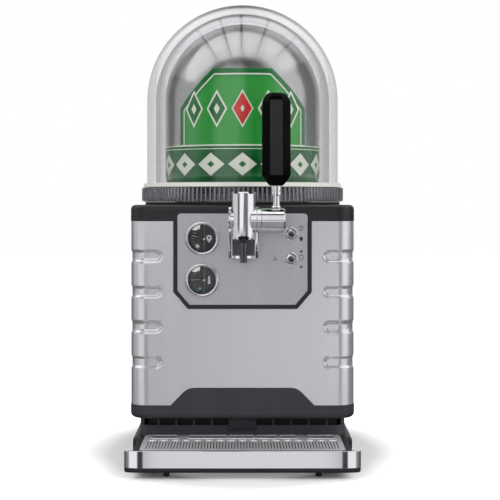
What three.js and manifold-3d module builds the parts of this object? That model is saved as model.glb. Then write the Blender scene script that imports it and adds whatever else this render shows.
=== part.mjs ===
// Mini keg beer dispenser: a counter-top cooler cabinet with a domed mini keg on top,
// a lever tap and a control panel on its front, and a drip tray before its base.
// Millimetres, +Z up, the front faces -Y, origin under the middle of the overall box.

import * as THREE from 'three';
import { mergeVertices } from 'three/addons/utils/BufferGeometryUtils.js';
import Module from 'manifold-3d';

const wasm = await Module();
wasm.setup();

// Driving sizes of the whole
const bodyWidth = 314;
const bodyDepth = 380;
const trayReach = 104;
const bodyCorner = 26;
const seatGap = 0.3;
const runningGap = 0.3;
const cutOverrun = 5;
const weldTolerance = 0.0001;

// Heights of the stacked cabinet pieces
const footHeight = 8.6;
const plinthHeight = 25.1;
const neckHeight = 30.7;
const skirtBandHeight = 18.7;
const shellHeight = 256;
const coverHeight = 22.4;
const seatRingHeight = 3.7;

// Base plinth and feet
const plinthWall = 3;
const plinthRound = 9;
const plinthShoulder = 11;
const footRadius = 11;
const footChamfer = 2;
const footInset = 34;

// Vent neck
const neckSetback = 50;
const neckWall = 3;
const neckCorner = 16;
const ventCellPitch = 25.3;
const ventDivider = 2.6;
const ventHeight = 10.3;
const ventRise = 15.4;
const neckBlockHalfWidth = 19.8;
const neckBlockHeight = 17;
const neckBlockRise = 6.7;
const neckBlockProud = 1.5;

// Base skirt and its apron
const skirtWall = 3;
const skirtRound = 7;
const skirtSeatWidth = 3;
const apronHeight = 24.5;
const apronTopHalfWidth = 76;
const apronBaseHalfWidth = 100;
const apronCorner = 9;

// Steel shell with pressed grooves
const shellReveal = 1.5;
const shellWall = 1.5;
const grooveCount = 4;
const groovePitch = 49.2;
const grooveLowest = 59.6;
const grooveWidth = 13;
const grooveDepth = 2.1;
const grooveReach = 43.3;
const grooveSideLength = 42;
const rearReturn = 33;

// Rear panel
const rearPanelThick = 2;
const rearSlotCount = 10;
const rearSlotPitch = 11;
const rearSlotHeight = 5;
const rearSlotWidth = 100;
const rearSlotRise = 22;

// Power inlet
const inletEdge = 27.5;
const inletRise = 30;
const inletFlangeWidth = 50;
const inletFlangeHeight = 30;
const inletFlangeThick = 1.2;
const inletBodyWidth = 28;
const inletBodyHeight = 20;
const inletBodyDepth = 24;
const inletSocketWall = 2.5;
const inletSocketDepth = 15;
const inletPinWidth = 4;
const inletPinThick = 2;
const inletPinPitch = 7;

// Top cover and the chamber in it
const coverWall = 4;
const coverRound = 6;
const chamberSetback = 160;
const coverMouthRadius = 123;
const seatRingInner = 128;
const seatRingOuter = 145;
const linerRadius = 122;
const linerWall = 4;
const linerDepth = 67;
const linerFlangeRadius = 127.6;
const linerFlangeThick = 2.5;

// Control panel and its bezel
const panelHalfWidth = 90.5;
const panelHeight = 127;
const panelDrop = 12;
const panelChamferWidth = 17;
const panelChamferHeight = 20;
const panelCorner = 5;
const panelThick = 2;
const bezelWidth = 5.5;
const bezelProud = 1.2;
const bezelDepth = 4;

// Gauges
const gaugeX = -56.3;
const pressureGaugeDrop = 34.6;
const temperatureGaugeDrop = 92.7;
const gaugeBezelRadius = 23.5;
const gaugeGlassRadius = 19.8;
const gaugeBezelDepth = 3.6;
const gaugeGlassThick = 1.2;
const gaugeCaseRadius = 21;
const gaugeCaseDepth = 26;
const gaugeRimWall = 1.6;
const gaugeDialSink = 5;
const needleLength = 16;
const needleTail = 4;
const needleWidth = 1.6;
const needleThick = 0.9;
const needleHubRadius = 2.6;
const needlePinRadius = 1;
const needlePinDepth = 3;
const needleLift = 1.6;
const pressureNeedleAngle = 15;
const temperatureNeedleAngle = 0;

// Toggle switches and the indicator lens
const toggleX = 67.6;
const lightToggleDrop = 28.5;
const coolingToggleDrop = 63.2;
const toggleBushRadius = 5.9;
const toggleNutRadius = 8.6;
const toggleNutThick = 2.6;
const toggleNeckRadius = 5;
const toggleNeckReach = 4.2;
const toggleBoxWidth = 13;
const toggleBoxHeight = 19;
const toggleBoxDepth = 18;
const toggleMouthRadius = 3.6;
const toggleBatRootRadius = 1.9;
const toggleBatTipRadius = 3.85;
const toggleBatLength = 15;
const toggleBatSeat = 3;
const lensX = 45.9;
const lensSide = 7;
const lensThick = 1;

// Tap
const tapX = 1.5;
const tapReach = 38;
const barrelRadius = 17;
const barrelDrop = 36;
const barrelHeight = 66;
const barrelBore = 13.5;
const barrelRoof = 9;
const barrelChamfer = 3;
const crownNotchWidth = 6;
const crownNotchDepth = 3;
const crownTabHalfWidth = 7;
const archRadius = 22;
const archDrop = 16;
const pivotRise = 27;
const pivotRadius = 17;
const collarReach = 24.2;
const bossRadius = 11;
const bossReach = 20.5;
const spindleRadius = 6;
const spindleInnerReach = 7.5;
const spindleFlat = 2;
const bracketWidth = 41.4;
const bracketFall = 25.6;
const bracketHeight = 70.6;
const bracketFront = 8;
const bracketLip = 3.4;
const bracketRecessDepth = 12;
const bracketRecessHeight = 24;
const bracketRecessBaseHalfWidth = 15.5;
const bracketRecessTopHalfWidth = 11;
const nozzleRadius = 6.5;
const nozzleFall = 4;
const nozzleHeight = 11;
const nozzleFlangeThick = 4;
const spoutRadius = 4.75;
const spoutBore = 3.2;
const spoutFall = 31;
const spoutRise = 25;

// Lever
const sleeveLength = 32;
const stemX = 46;
const stemRadius = 5.25;
const stemSeatDepth = 9;
const ferruleRadius = 7;
const ferruleRise = 34;
const gripRise = 47;
const gripHeight = 127;
const gripHalfWidth = 19.5;
const gripHalfDepth = 17;
const gripFacetHalfWidth = 9.15;
const gripFacetHalfDepth = 8;
const gripTaperHeight = 14;
const gripFootHalfWidth = 8.7;
const gripTopRound = 9;
const gripRodRadius = 4;
const gripRodLength = 36;

// Keg, its coupler and its cradle
const kegRadius = 115;
const kegDomeDrop = 1;
const kegShoulderRise = 45;
const kegShoulderDrop = 11;
const kegNeckRadius = 20;
const kegNeckDrop = 29;
const kegCapRadius = 23.5;
const kegCapWall = 3.2;
const kegCapFloor = 16;
const kegCapSkirt = 12;
const cradleInner = 80;
const cradleOuter = 100;
const cradleDrop = 11;
const cradleLegWidth = 10;
const cradleLegAngles = [20, 160, 230, 310];
const couplerRadius = 31;
const couplerFlangeRadius = 35;
const couplerFlangeThick = 4.7;
const couplerSocketDepth = 24;
const couplerTailRadius = 7.7;
const couplerTailLength = 14;
const couplerPortRadius = 7;
const couplerPortReach = 36;
const couplerPortRise = 9;

// Lines held inside
const beerLineRadius = 4.75;
const beerLineRise = 20;
const airLineRadius = 3;
const airLineRise = 40;

// Cooling system
const fanPlateHalf = 40;
const fanPlateDepth = 25;
const fanBore = 36;
const fanSetback = 76;
const fanMouthRadius = 34;
const coolerHalfWidth = 50;
const coolerDepth = 86;
const coolerHeight = 42;
const finThick = 1.6;
const finPitch = 9;
const finSpine = 4;
const potWallGap = 8;
const potBackGap = 130;
const potRadius = 55;
const potHeight = 150;
const potRound = 16;
const potPlateHalfWidth = 60;
const potPlateHalfDepth = 46;
const potPlateThick = 3;
const condenserWallGap = 20;
const condenserHalfWidth = 58;
const condenserBackGap = 17;
const condenserDepth = 25;
const condenserRise = 83.1;
const condenserHeight = 110;
const condenserLegWidth = 8;
const bigFanPlateHalf = 55;
const bigFanBore = 50;
const bladeCount = 7;
const bladeThick = 2;
const bladePitchAngle = 32;
const fanHubShare = 0.38;
const fanStrutWidth = 5;
const fanMotorDepth = 5;

// Air pump and control board
const pumpWallGap = 23;
const pumpY = -5;
const pumpHalfWidth = 30;
const pumpHalfDepth = 35;
const pumpHeight = 50;
const pumpHeadRadius = 14;
const pumpHeadHeight = 12;
const boardThick = 1.6;
const boardStandoff = 12;
const boardStandoffRadius = 3;
const boardLowY = 60;
const boardLength = 100;
const boardRise = 115.7;
const boardHeight = 90;
const boardEdge = 8;
const chipHeight = 9;
const chipSide = 22;

// Dome
const domeRadius = 142;
const domeWall = 3;
const domeStraight = 145.7;
const innerDomeRadius = 129;
const ringRadius = 150;
const ringHeight = 27.7;
const ribbedHeight = 21.7;
const ringFloor = 4.7;
const ringFlangeRadius = 145.5;
const ribCount = 72;
const ribDepth = 1.8;
const ribMargin = 1.5;

// Drip tray
const tubCorner = 14;
const tubRimRise = 1.7;
const tubWall = 2.5;
const bumperDepth = 8;
const bumperEndLength = 26;
const fasciaRise = 5.8;
const fasciaThick = 1.5;
const pegEdge = 44;
const pegRadius = 8;
const pegInset = 27;

// Drip grille
const grilleThick = 1.7;
const grilleMargin = 2.5;
const grilleNeckGap = 2.2;
const slotPitch = 6;
const slotWidth = 3;
const slotEdge = 13.5;
const slotLowInset = 17;
const slotLength = 64;
const holeRadius = 5.4;
const holePitch = 15.5;
const holeInset = 98;
const longSlotInset = 115;
const longSlotDepth = 24;
const longSlotShares = [
  [-0.885, -0.634], [-0.526, -0.145], [-0.124, 0.118], [0.139, 0.341], [0.362, 0.526], [0.641, 0.892],
];

// Places worked out from the sizes above
const halfWidth = bodyWidth / 2;
const overallDepth = bodyDepth + trayReach;
const fasciaY = -overallDepth / 2;
const frontY = fasciaY + trayReach;
const backY = frontY + bodyDepth;
const plinthBottom = footHeight + seatGap;
const plinthTop = plinthBottom + plinthHeight;
const neckBottom = plinthTop + seatGap;
const neckTop = neckBottom + neckHeight;
const skirtBottom = neckTop + seatGap;
const skirtTop = skirtBottom + skirtBandHeight;
const shellBottom = skirtTop + seatGap;
const shellTop = shellBottom + shellHeight;
const coverBottom = shellTop + seatGap;
const coverTop = coverBottom + coverHeight;
const seatRingBottom = coverTop + seatGap;
const ringBottom = seatRingBottom + seatRingHeight + seatGap;
const domeBottom = ringBottom + ringFloor + seatGap;
const domeCentreZ = domeBottom + domeStraight;
const neckHalfWidth = halfWidth - plinthShoulder;
const neckFrontY = frontY + neckSetback;
const neckBackY = backY - plinthShoulder;
const plinthFrontY = neckFrontY - plinthShoulder;
const plinthFloorTop = plinthBottom + plinthWall;
const panelTop = coverTop - panelDrop;
const panelBottom = panelTop - panelHeight;
const panelFrontY = frontY;
const chamberY = frontY + chamberSetback;
const tapY = frontY - tapReach;
const linerBottom = coverTop - linerDepth;
const linerFloorTop = linerBottom + linerWall;
const fanY = chamberY + fanSetback;
const fanTop = linerBottom - seatGap;
const grilleFrontY = fasciaY + bumperDepth + seatGap;
const grilleBackY = neckFrontY - grilleNeckGap;
const tubBackY = plinthFrontY - seatGap;
const rearFaceY = backY - shellReveal;
const bracketBackY = frontY - seatGap;
const pressureGaugeZ = panelTop - pressureGaugeDrop;
const temperatureGaugeZ = panelTop - temperatureGaugeDrop;
const lightToggleZ = panelTop - lightToggleDrop;
const coolingToggleZ = panelTop - coolingToggleDrop;
const lensZ = coolingToggleZ;
const barrelBottom = panelTop - barrelDrop;
const pivotZ = barrelBottom + pivotRise;
const bracketBottom = barrelBottom - bracketFall;
const nozzleBottom = barrelBottom - nozzleFall;
const beerLineTapZ = barrelBottom + beerLineRise;
const ferruleBottom = pivotZ + ferruleRise;
const gripBottom = pivotZ + gripRise;
const kegDomeZ = domeCentreZ - kegDomeDrop;
const kegShoulderTop = coverTop + kegShoulderRise;
const kegShoulderBottom = coverTop - kegShoulderDrop;
const kegNeckBottom = coverTop - kegNeckDrop;
const kegCapBottom = kegNeckBottom - kegCapFloor;
const kegCapTop = kegNeckBottom + kegCapSkirt;
const cradleBottom = coverTop - cradleDrop;
const couplerTop = kegCapBottom + couplerSocketDepth;
const couplerPortZ = linerFloorTop + couplerPortRise;
const bayHalfWidth = neckHalfWidth - neckWall;
const potX = bayHalfWidth - potWallGap - potPlateHalfWidth;
const potY = backY - potBackGap;
const condenserX = condenserWallGap + condenserHalfWidth - bayHalfWidth;
const condenserBottom = plinthFloorTop + condenserRise;
const pumpX = pumpWallGap + pumpHalfWidth - bayHalfWidth;
const boardBottom = shellBottom + boardRise;
const rearHalf = halfWidth - shellReveal - rearReturn;
const rearSlotX = condenserX;
const inletX = rearHalf - inletEdge;
const tubHalfWidth = neckHalfWidth;
const tubBottom = plinthBottom + seatGap;
const tubTop = plinthTop + tubRimRise;
const bumperTop = tubTop + grilleThick;
const fasciaBottom = plinthBottom + fasciaRise;
const fasciaTop = bumperTop + seatGap;
const pegX = tubHalfWidth - pegEdge;
const grilleHalf = tubHalfWidth - grilleMargin;
const slotHalfSpan = grilleHalf - slotEdge;

// Solids and cuts

function dropFlatTriangles(index) {
  const kept = [];
  for (let start = 0; start < index.length; start += 3) {
    const [a, b, c] = [index[start], index[start + 1], index[start + 2]];
    if (a !== b && b !== c && c !== a) kept.push(a, b, c);
  }
  return kept;
}

function signedVolume(position, index) {
  const corners = [new THREE.Vector3(), new THREE.Vector3(), new THREE.Vector3()];
  let total = 0;
  for (let start = 0; start < index.length; start += 3) {
    corners.forEach((corner, turn) => corner.fromArray(position, 3 * index[start + turn]));
    total += corners[0].dot(corners[1].cross(corners[2]));
  }
  return total;
}

function solidOf(geometry) {
  const bare = geometry.clone();
  bare.deleteAttribute('normal');
  bare.deleteAttribute('uv');
  const merged = mergeVertices(bare, weldTolerance);
  const position = merged.attributes.position.array;
  const index = dropFlatTriangles(merged.index.array);
  if (signedVolume(position, index) < 0) index.reverse();
  const mesh = new wasm.Mesh({
    numProp: 3,
    vertProperties: new Float32Array(position),
    triVerts: new Uint32Array(index),
  });
  return new wasm.Manifold(mesh);
}

function geometryOf(solid) {
  const mesh = solid.getMesh();
  const geometry = new THREE.BufferGeometry();
  geometry.setAttribute('position', new THREE.Float32BufferAttribute(mesh.vertProperties, 3));
  geometry.setIndex(new THREE.Uint32BufferAttribute(mesh.triVerts, 1));
  geometry.computeVertexNormals();
  return geometry;
}

function join(first, ...others) {
  return others.reduce((whole, piece) => whole.add(piece), first);
}

function cut(first, ...tools) {
  return tools.reduce((whole, tool) => whole.subtract(tool), first);
}

// Form makers

function block(low, high) {
  const size = high.map((value, axis) => value - low[axis]);
  const middle = high.map((value, axis) => (value + low[axis]) / 2);
  return solidOf(new THREE.BoxGeometry(...size).translate(...middle));
}

function shapeOf(points, holes = []) {
  const shape = new THREE.Shape(points.map(([x, y]) => new THREE.Vector2(x, y)));
  shape.holes = holes.map((hole) => new THREE.Path(hole.map(([x, y]) => new THREE.Vector2(x, y))));
  return shape;
}

function extruded(shape, length) {
  return new THREE.ExtrudeGeometry(shape, { depth: length, bevelEnabled: false });
}

function prismUp(points, lowZ, highZ, holes) {
  return solidOf(extruded(shapeOf(points, holes), highZ - lowZ).translate(0, 0, lowZ));
}

// An outline drawn in X and Z, carried from one Y to another
function prismBack(points, lowY, highY, holes) {
  const geometry = extruded(shapeOf(points, holes), highY - lowY);
  return solidOf(geometry.rotateX(Math.PI / 2).translate(0, highY, 0));
}

// An outline drawn in Y and Z, carried from one X to another
function prismAcross(points, lowX, highX, holes) {
  const axes = new THREE.Matrix4().makeBasis(
    new THREE.Vector3(0, 1, 0),
    new THREE.Vector3(0, 0, 1),
    new THREE.Vector3(1, 0, 0),
  );
  const geometry = extruded(shapeOf(points, holes), highX - lowX);
  return solidOf(geometry.applyMatrix4(axes).translate(lowX, 0, 0));
}

// A profile of radius and height turned round Z
function turned(profile, steps) {
  const points = profile.map(([radius, height]) => new THREE.Vector2(radius, height));
  return new THREE.LatheGeometry(points, steps).rotateX(Math.PI / 2);
}

function turnedUp(profile, steps, x, y) {
  return solidOf(turned(profile, steps).translate(x, y, 0));
}

// A profile of radius and reach towards the front, turned round a Y axis
function turnedFront(profile, steps, x, y, z) {
  return solidOf(turned(profile, steps).rotateX(Math.PI / 2).translate(x, y, z));
}

// A profile of radius and reach towards +X, turned round an X axis
function turnedAcross(profile, steps, x, y, z) {
  return solidOf(turned(profile, steps).rotateY(Math.PI / 2).translate(x, y, z));
}

function rodProfile(radius, low, high) {
  return [[0, low], [radius, low], [radius, high], [0, high]];
}

function tubeProfile(inner, outer, low, high) {
  return [[inner, low], [outer, low], [outer, high], [inner, high], [inner, low]];
}

function arcPoints(centre, radii, fromDegrees, toDegrees, steps) {
  return Array.from({ length: steps + 1 }, (unused, step) => {
    const angle = THREE.MathUtils.degToRad(fromDegrees + ((toDegrees - fromDegrees) * step) / steps);
    return [centre[0] + radii[0] * Math.cos(angle), centre[1] + radii[1] * Math.sin(angle)];
  });
}

// A rectangle with round corners, counterclockwise from its upper right corner
function roundedPoints(low, high, radius, steps) {
  const radii = [radius, radius];
  return [
    ...arcPoints([high[0] - radius, high[1] - radius], radii, 0, 90, steps),
    ...arcPoints([low[0] + radius, high[1] - radius], radii, 90, 180, steps),
    ...arcPoints([low[0] + radius, low[1] + radius], radii, 180, 270, steps),
    ...arcPoints([high[0] - radius, low[1] + radius], radii, 270, 360, steps),
  ];
}

// Convex outlines stacked at rising heights, closed by flat ends
function stacked(outlines, heights) {
  const count = outlines[0].length;
  const positions = outlines.flatMap((outline, level) => outline.flatMap(([x, y]) => [x, y, heights[level]]));
  const index = [];
  for (let level = 0; level + 1 < outlines.length; level += 1) {
    for (let step = 0; step < count; step += 1) {
      const next = (step + 1) % count;
      const [low, high] = [level * count, (level + 1) * count];
      index.push(low + step, low + next, high + next, low + step, high + next, high + step);
    }
  }
  const top = (outlines.length - 1) * count;
  for (let step = 1; step + 1 < count; step += 1) {
    index.push(0, step + 1, step, top, top + step, top + step + 1);
  }
  const geometry = new THREE.BufferGeometry();
  geometry.setAttribute('position', new THREE.Float32BufferAttribute(positions, 3));
  geometry.setIndex(index);
  return solidOf(geometry);
}

// An upright box with round corners and, where asked, a rounded lower or upper edge
function roundedBlock(
  plan,
  lowZ,
  highZ,
  { lowRound = 0, highRound = 0, cornerSteps = 4, edgeSteps = 2 } = {},
) {
  const levels = [];
  const inwards = (share) => 1 - Math.sin(share);
  const along = (share) => 1 - Math.cos(share);
  for (let step = 0; lowRound > 0 && step < edgeSteps; step += 1) {
    const angle = (Math.PI / 2) * (step / edgeSteps);
    levels.push([lowRound * inwards(angle), lowZ + lowRound * along(angle)]);
  }
  levels.push([0, lowZ + lowRound], [0, highZ - highRound]);
  for (let step = edgeSteps - 1; highRound > 0 && step >= 0; step -= 1) {
    const angle = (Math.PI / 2) * (step / edgeSteps);
    levels.push([highRound * inwards(angle), highZ - highRound * along(angle)]);
  }
  const outlines = levels.map(([inset]) => planOutline(plan, inset, cornerSteps));
  return stacked(outlines, levels.map(([, height]) => height));
}

function planOutline({ half, front, back, corner }, inset, cornerSteps) {
  const low = [-half + inset, front + inset];
  const high = [half - inset, back - inset];
  return roundedPoints(low, high, corner - inset, cornerSteps);
}

function insetPlan(plan, inset) {
  return {
    half: plan.half - inset,
    front: plan.front + inset,
    back: plan.back - inset,
    corner: plan.corner - inset,
  };
}

function tubeAlong(curve, radius, steps, sides) {
  const section = shapeOf(arcPoints([0, 0], [radius, radius], 0, 360 - 360 / sides, sides - 1));
  return solidOf(new THREE.ExtrudeGeometry(section, { steps, extrudePath: curve, bevelEnabled: false }));
}

// Outlines shared by neighbours

const bodyPlan = { half: halfWidth, front: frontY, back: backY, corner: bodyCorner };
const neckPlan = { half: neckHalfWidth, front: neckFrontY, back: neckBackY, corner: neckCorner };
const plinthPlan = { half: halfWidth, front: plinthFrontY, back: backY, corner: bodyCorner };

function apronOutline(grow) {
  const slope = Math.atan2(apronHeight, apronBaseHalfWidth - apronTopHalfWidth);
  const topHalf = apronTopHalfWidth + grow * Math.tan(slope / 2);
  const baseHalf = topHalf + (apronBaseHalfWidth - apronTopHalfWidth) * ((apronHeight + grow) / apronHeight);
  const high = skirtTop + apronHeight + grow;
  const turn = slope;
  const reach = (apronCorner + grow) * Math.tan(turn / 2);
  const start = [topHalf - reach, high];
  const end = [topHalf + reach * Math.cos(turn), high - reach * Math.sin(turn)];
  const middle = [topHalf, high];
  const curve = new THREE.QuadraticBezierCurve(
    new THREE.Vector2(...end),
    new THREE.Vector2(...middle),
    new THREE.Vector2(...start),
  );
  const corner = curve.getPoints(4).map((point) => [point.x, point.y]);
  const right = [[baseHalf, skirtTop], ...corner];
  const left = right.map(([x, z]) => [-x, z]).reverse();
  return [...right, ...left];
}

function panelOutline(grow) {
  const half = panelHalfWidth + grow;
  const low = panelBottom - grow;
  const high = panelTop + grow;
  const sideTurn = Math.atan2(panelChamferWidth, panelChamferHeight);
  const sideZ = panelBottom + panelChamferHeight - grow * Math.tan(sideTurn / 2);
  const footX = panelHalfWidth - panelChamferWidth + grow * Math.tan((Math.PI / 2 - sideTurn) / 2);
  const corner = panelCorner + grow;
  const radii = [corner, corner];
  return [
    [half, sideZ],
    ...arcPoints([half - corner, high - corner], radii, 0, 90, 4),
    ...arcPoints([-half + corner, high - corner], radii, 90, 180, 4),
    [-half, sideZ],
    [-footX, low],
    [footX, low],
  ];
}

function beerLinePath() {
  const start = new THREE.Vector3(0, chamberY - couplerPortReach - seatGap, couplerPortZ);
  const end = new THREE.Vector3(tapX, tapY + barrelRadius - seatGap, beerLineTapZ);
  const reach = (start.y - end.y) / 2;
  return new THREE.CubicBezierCurve3(
    start,
    start.clone().setY(start.y - reach),
    end.clone().setY(end.y + reach),
    end,
  );
}

function beerLineTool() {
  return tubeAlong(beerLinePath(), beerLineRadius + runningGap, 12, 8);
}

// Base

function makeFoot(x, y) {
  const profile = [
    [0, 0],
    [footRadius - footChamfer, 0],
    [footRadius, footChamfer],
    [footRadius, footHeight],
    [0, footHeight],
  ];
  return turnedUp(profile, 14, x, y);
}

function footPlaces() {
  const x = halfWidth - footInset;
  return {
    foot_front_left: [-x, plinthFrontY + footInset],
    foot_front_right: [x, plinthFrontY + footInset],
    foot_rear_left: [-x, backY - footInset],
    foot_rear_right: [x, backY - footInset],
  };
}

function makePlinth() {
  const outer = roundedBlock(plinthPlan, plinthBottom, plinthTop, { highRound: plinthRound });
  const hollow = roundedBlock(insetPlan(plinthPlan, plinthWall), plinthFloorTop, plinthTop - plinthWall);
  const mouthLow = plinthTop - plinthWall - cutOverrun;
  const mouth = roundedBlock(insetPlan(neckPlan, neckWall), mouthLow, plinthTop + cutOverrun);
  const shoulderHigh = plinthTop - plinthWall;
  const shoulder = roundedBlock(plinthPlan, plinthFloorTop, shoulderHigh, { highRound: plinthRound });
  return cut(outer, hollow.intersect(shoulder), mouth);
}

function ventStarts(limit) {
  const starts = [];
  for (let start = neckBlockHalfWidth; start + ventCellPitch <= limit; start += ventCellPitch) {
    starts.push(start);
  }
  return starts;
}

function makeNeck() {
  const outer = roundedBlock(neckPlan, neckBottom, neckTop);
  const inner = roundedBlock(insetPlan(neckPlan, neckWall), neckBottom - cutOverrun, neckTop + cutOverrun);
  const low = neckBottom + ventRise;
  const high = low + ventHeight;
  const cell = ventCellPitch - ventDivider;
  const middleY = (neckFrontY + neckBackY) / 2;
  const slots = ventStarts(neckHalfWidth).flatMap((start) => [
    block([start, neckFrontY - cutOverrun, low], [start + cell, neckFrontY + cutOverrun, high]),
    block([-start - cell, neckFrontY - cutOverrun, low], [-start, neckFrontY + cutOverrun, high]),
  ]);
  const sideSlots = ventStarts(middleY - neckFrontY - neckCorner).flatMap((start) => [
    block([-halfWidth, middleY + start, low], [halfWidth, middleY + start + cell, high]),
    block([-halfWidth, middleY - start - cell, low], [halfWidth, middleY - start, high]),
  ]);
  const blockLow = neckBottom + neckBlockRise;
  const centre = block(
    [-neckBlockHalfWidth, neckFrontY - neckBlockProud, blockLow],
    [neckBlockHalfWidth, neckFrontY + neckWall, blockLow + neckBlockHeight],
  );
  return join(cut(outer, inner, ...slots, ...sideSlots), centre);
}

function makeSkirt() {
  const outer = roundedBlock(bodyPlan, skirtBottom, skirtTop, { lowRound: skirtRound });
  const inner = roundedBlock(insetPlan(bodyPlan, skirtWall), skirtBottom + skirtWall, skirtTop + cutOverrun);
  const mouth = roundedBlock(
    insetPlan(neckPlan, neckWall + skirtSeatWidth),
    skirtBottom - cutOverrun,
    skirtTop + cutOverrun,
  );
  const roundLow = skirtBottom + skirtWall;
  const round = roundedBlock(bodyPlan, roundLow, skirtTop + cutOverrun, { lowRound: skirtRound });
  const apron = prismBack(apronOutline(0), frontY, frontY + skirtWall);
  return join(cut(outer, inner.intersect(round), mouth), apron);
}

// Steel shell: the same body made twice, one wall apart, with the grooves pressed in both

function grooveLevels() {
  return Array.from({ length: grooveCount }, (unused, row) => shellBottom + grooveLowest + row * groovePitch);
}

function grooveTool(inset, level, side) {
  const radius = grooveWidth / 2 + inset;
  const [low, high] = [level - radius, level + radius];
  const outer = halfWidth + cutOverrun;
  const sideEnd = frontY + grooveSideLength + inset;
  const frontBar = prismBack(
    roundedPoints([halfWidth - grooveReach - inset, low], [outer + grooveWidth, high], radius, 3),
    frontY - cutOverrun,
    sideEnd,
  );
  const sideBar = prismAcross(
    roundedPoints([frontY - cutOverrun - grooveWidth, low], [sideEnd, high], radius, 3),
    0,
    outer,
  );
  const core = roundedBlock(insetPlan(bodyPlan, shellReveal + inset + grooveDepth), shellBottom, shellTop);
  const tool = cut(frontBar.intersect(sideBar), core);
  return side > 0 ? tool : tool.mirror([1, 0, 0]);
}

function shellBody(inset, lowZ, highZ) {
  const body = roundedBlock(insetPlan(bodyPlan, shellReveal + inset), lowZ, highZ);
  const tools = grooveLevels().flatMap((level) => [1, -1].map((side) => grooveTool(inset, level, side)));
  return cut(body, ...tools);
}

function makeShell() {
  const wall = cut(
    shellBody(0, shellBottom, shellTop),
    shellBody(shellWall, shellBottom - cutOverrun, shellTop + cutOverrun),
  );
  const rearMouth = block(
    [-rearHalf, backY - bodyCorner, shellBottom - cutOverrun],
    [rearHalf, backY + cutOverrun, shellTop + cutOverrun],
  );
  const [low, high] = [frontY - cutOverrun, frontY + cutOverrun];
  const panelMouth = prismBack(panelOutline(bezelWidth + seatGap), low, high);
  const apronMouth = prismBack(apronOutline(seatGap), low, high);
  return cut(wall, rearMouth, panelMouth, apronMouth);
}

function makeRearPanel() {
  const half = rearHalf - seatGap;
  const plate = block([-half, rearFaceY - rearPanelThick, shellBottom], [half, rearFaceY, shellTop]);
  const slots = Array.from({ length: rearSlotCount }, (unused, row) => {
    const low = shellBottom + rearSlotRise + row * rearSlotPitch;
    return block(
      [rearSlotX - rearSlotWidth / 2, rearFaceY - cutOverrun, low],
      [rearSlotX + rearSlotWidth / 2, rearFaceY + cutOverrun, low + rearSlotHeight],
    );
  });
  const inletMouth = inletBody(seatGap, cutOverrun);
  return cut(plate, ...slots, inletMouth);
}

function inletBody(grow, proud) {
  const z = shellBottom + inletRise;
  return block(
    [inletX - inletBodyWidth / 2 - grow, rearFaceY - inletBodyDepth, z - inletBodyHeight / 2 - grow],
    [inletX + inletBodyWidth / 2 + grow, rearFaceY + proud, z + inletBodyHeight / 2 + grow],
  );
}

function makeInlet() {
  const z = shellBottom + inletRise;
  const face = rearFaceY + seatGap + inletFlangeThick;
  const flange = block(
    [inletX - inletFlangeWidth / 2, rearFaceY + seatGap, z - inletFlangeHeight / 2],
    [inletX + inletFlangeWidth / 2, face, z + inletFlangeHeight / 2],
  );
  const socketHalfWidth = inletBodyWidth / 2 - inletSocketWall;
  const socketHalfHeight = inletBodyHeight / 2 - inletSocketWall;
  const socket = block(
    [inletX - socketHalfWidth, face - inletSocketDepth, z - socketHalfHeight],
    [inletX + socketHalfWidth, face + cutOverrun, z + socketHalfHeight],
  );
  const pins = [-1, 0, 1].map((place) => {
    const x = inletX + place * inletPinPitch;
    return block(
      [x - inletPinThick / 2, face - inletSocketDepth - inletSocketWall, z - inletPinWidth / 2],
      [x + inletPinThick / 2, face - inletSocketWall, z + inletPinWidth / 2],
    );
  });
  return join(cut(join(inletBody(0, seatGap + inletFlangeThick), flange), socket), ...pins);
}

// Top cover, seat ring, liner

function makeCover() {
  const outer = roundedBlock(bodyPlan, coverBottom, coverTop, { highRound: coverRound, edgeSteps: 3 });
  const inner = roundedBlock(insetPlan(bodyPlan, coverWall), coverBottom - cutOverrun, coverTop - coverWall);
  const mouth = turnedUp(
    rodProfile(coverMouthRadius, coverBottom - cutOverrun, coverTop + cutOverrun),
    36,
    0,
    chamberY,
  );
  const panelSeat = prismBack(panelOutline(seatGap), frontY - cutOverrun, frontY + panelThick + seatGap);
  return cut(outer, inner, mouth, panelSeat);
}

function makeSeatRing() {
  const profile = tubeProfile(seatRingInner, seatRingOuter, seatRingBottom, seatRingBottom + seatRingHeight);
  return turnedUp(profile, 36, 0, chamberY);
}

function makeLiner() {
  const flangeLow = coverTop + seatGap;
  const flangeHigh = flangeLow + linerFlangeThick;
  const inner = linerRadius - linerWall;
  const profile = [
    [0, linerBottom],
    [linerRadius, linerBottom],
    [linerRadius, flangeLow],
    [linerFlangeRadius, flangeLow],
    [linerFlangeRadius, flangeHigh],
    [inner, flangeHigh],
    [inner, linerFloorTop],
    [0, linerFloorTop],
  ];
  const [low, high] = [linerBottom - cutOverrun, linerFloorTop + cutOverrun];
  const fanMouth = turnedUp(rodProfile(fanMouthRadius, low, high), 24, 0, fanY);
  const tailHole = turnedUp(rodProfile(couplerTailRadius + seatGap, low, high), 16, 0, chamberY);
  return cut(turnedUp(profile, 36, 0, chamberY), fanMouth, tailHole, beerLineTool());
}

// Control panel

function makeBezel() {
  const [low, high] = [frontY - bezelProud, frontY + bezelDepth];
  const outer = prismBack(panelOutline(bezelWidth), low, high);
  const inner = prismBack(panelOutline(seatGap), low - cutOverrun, high + cutOverrun);
  const above = block(
    [-halfWidth, low - cutOverrun, shellTop],
    [halfWidth, high + cutOverrun, coverTop + cutOverrun],
  );
  return cut(outer, inner, above);
}

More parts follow.
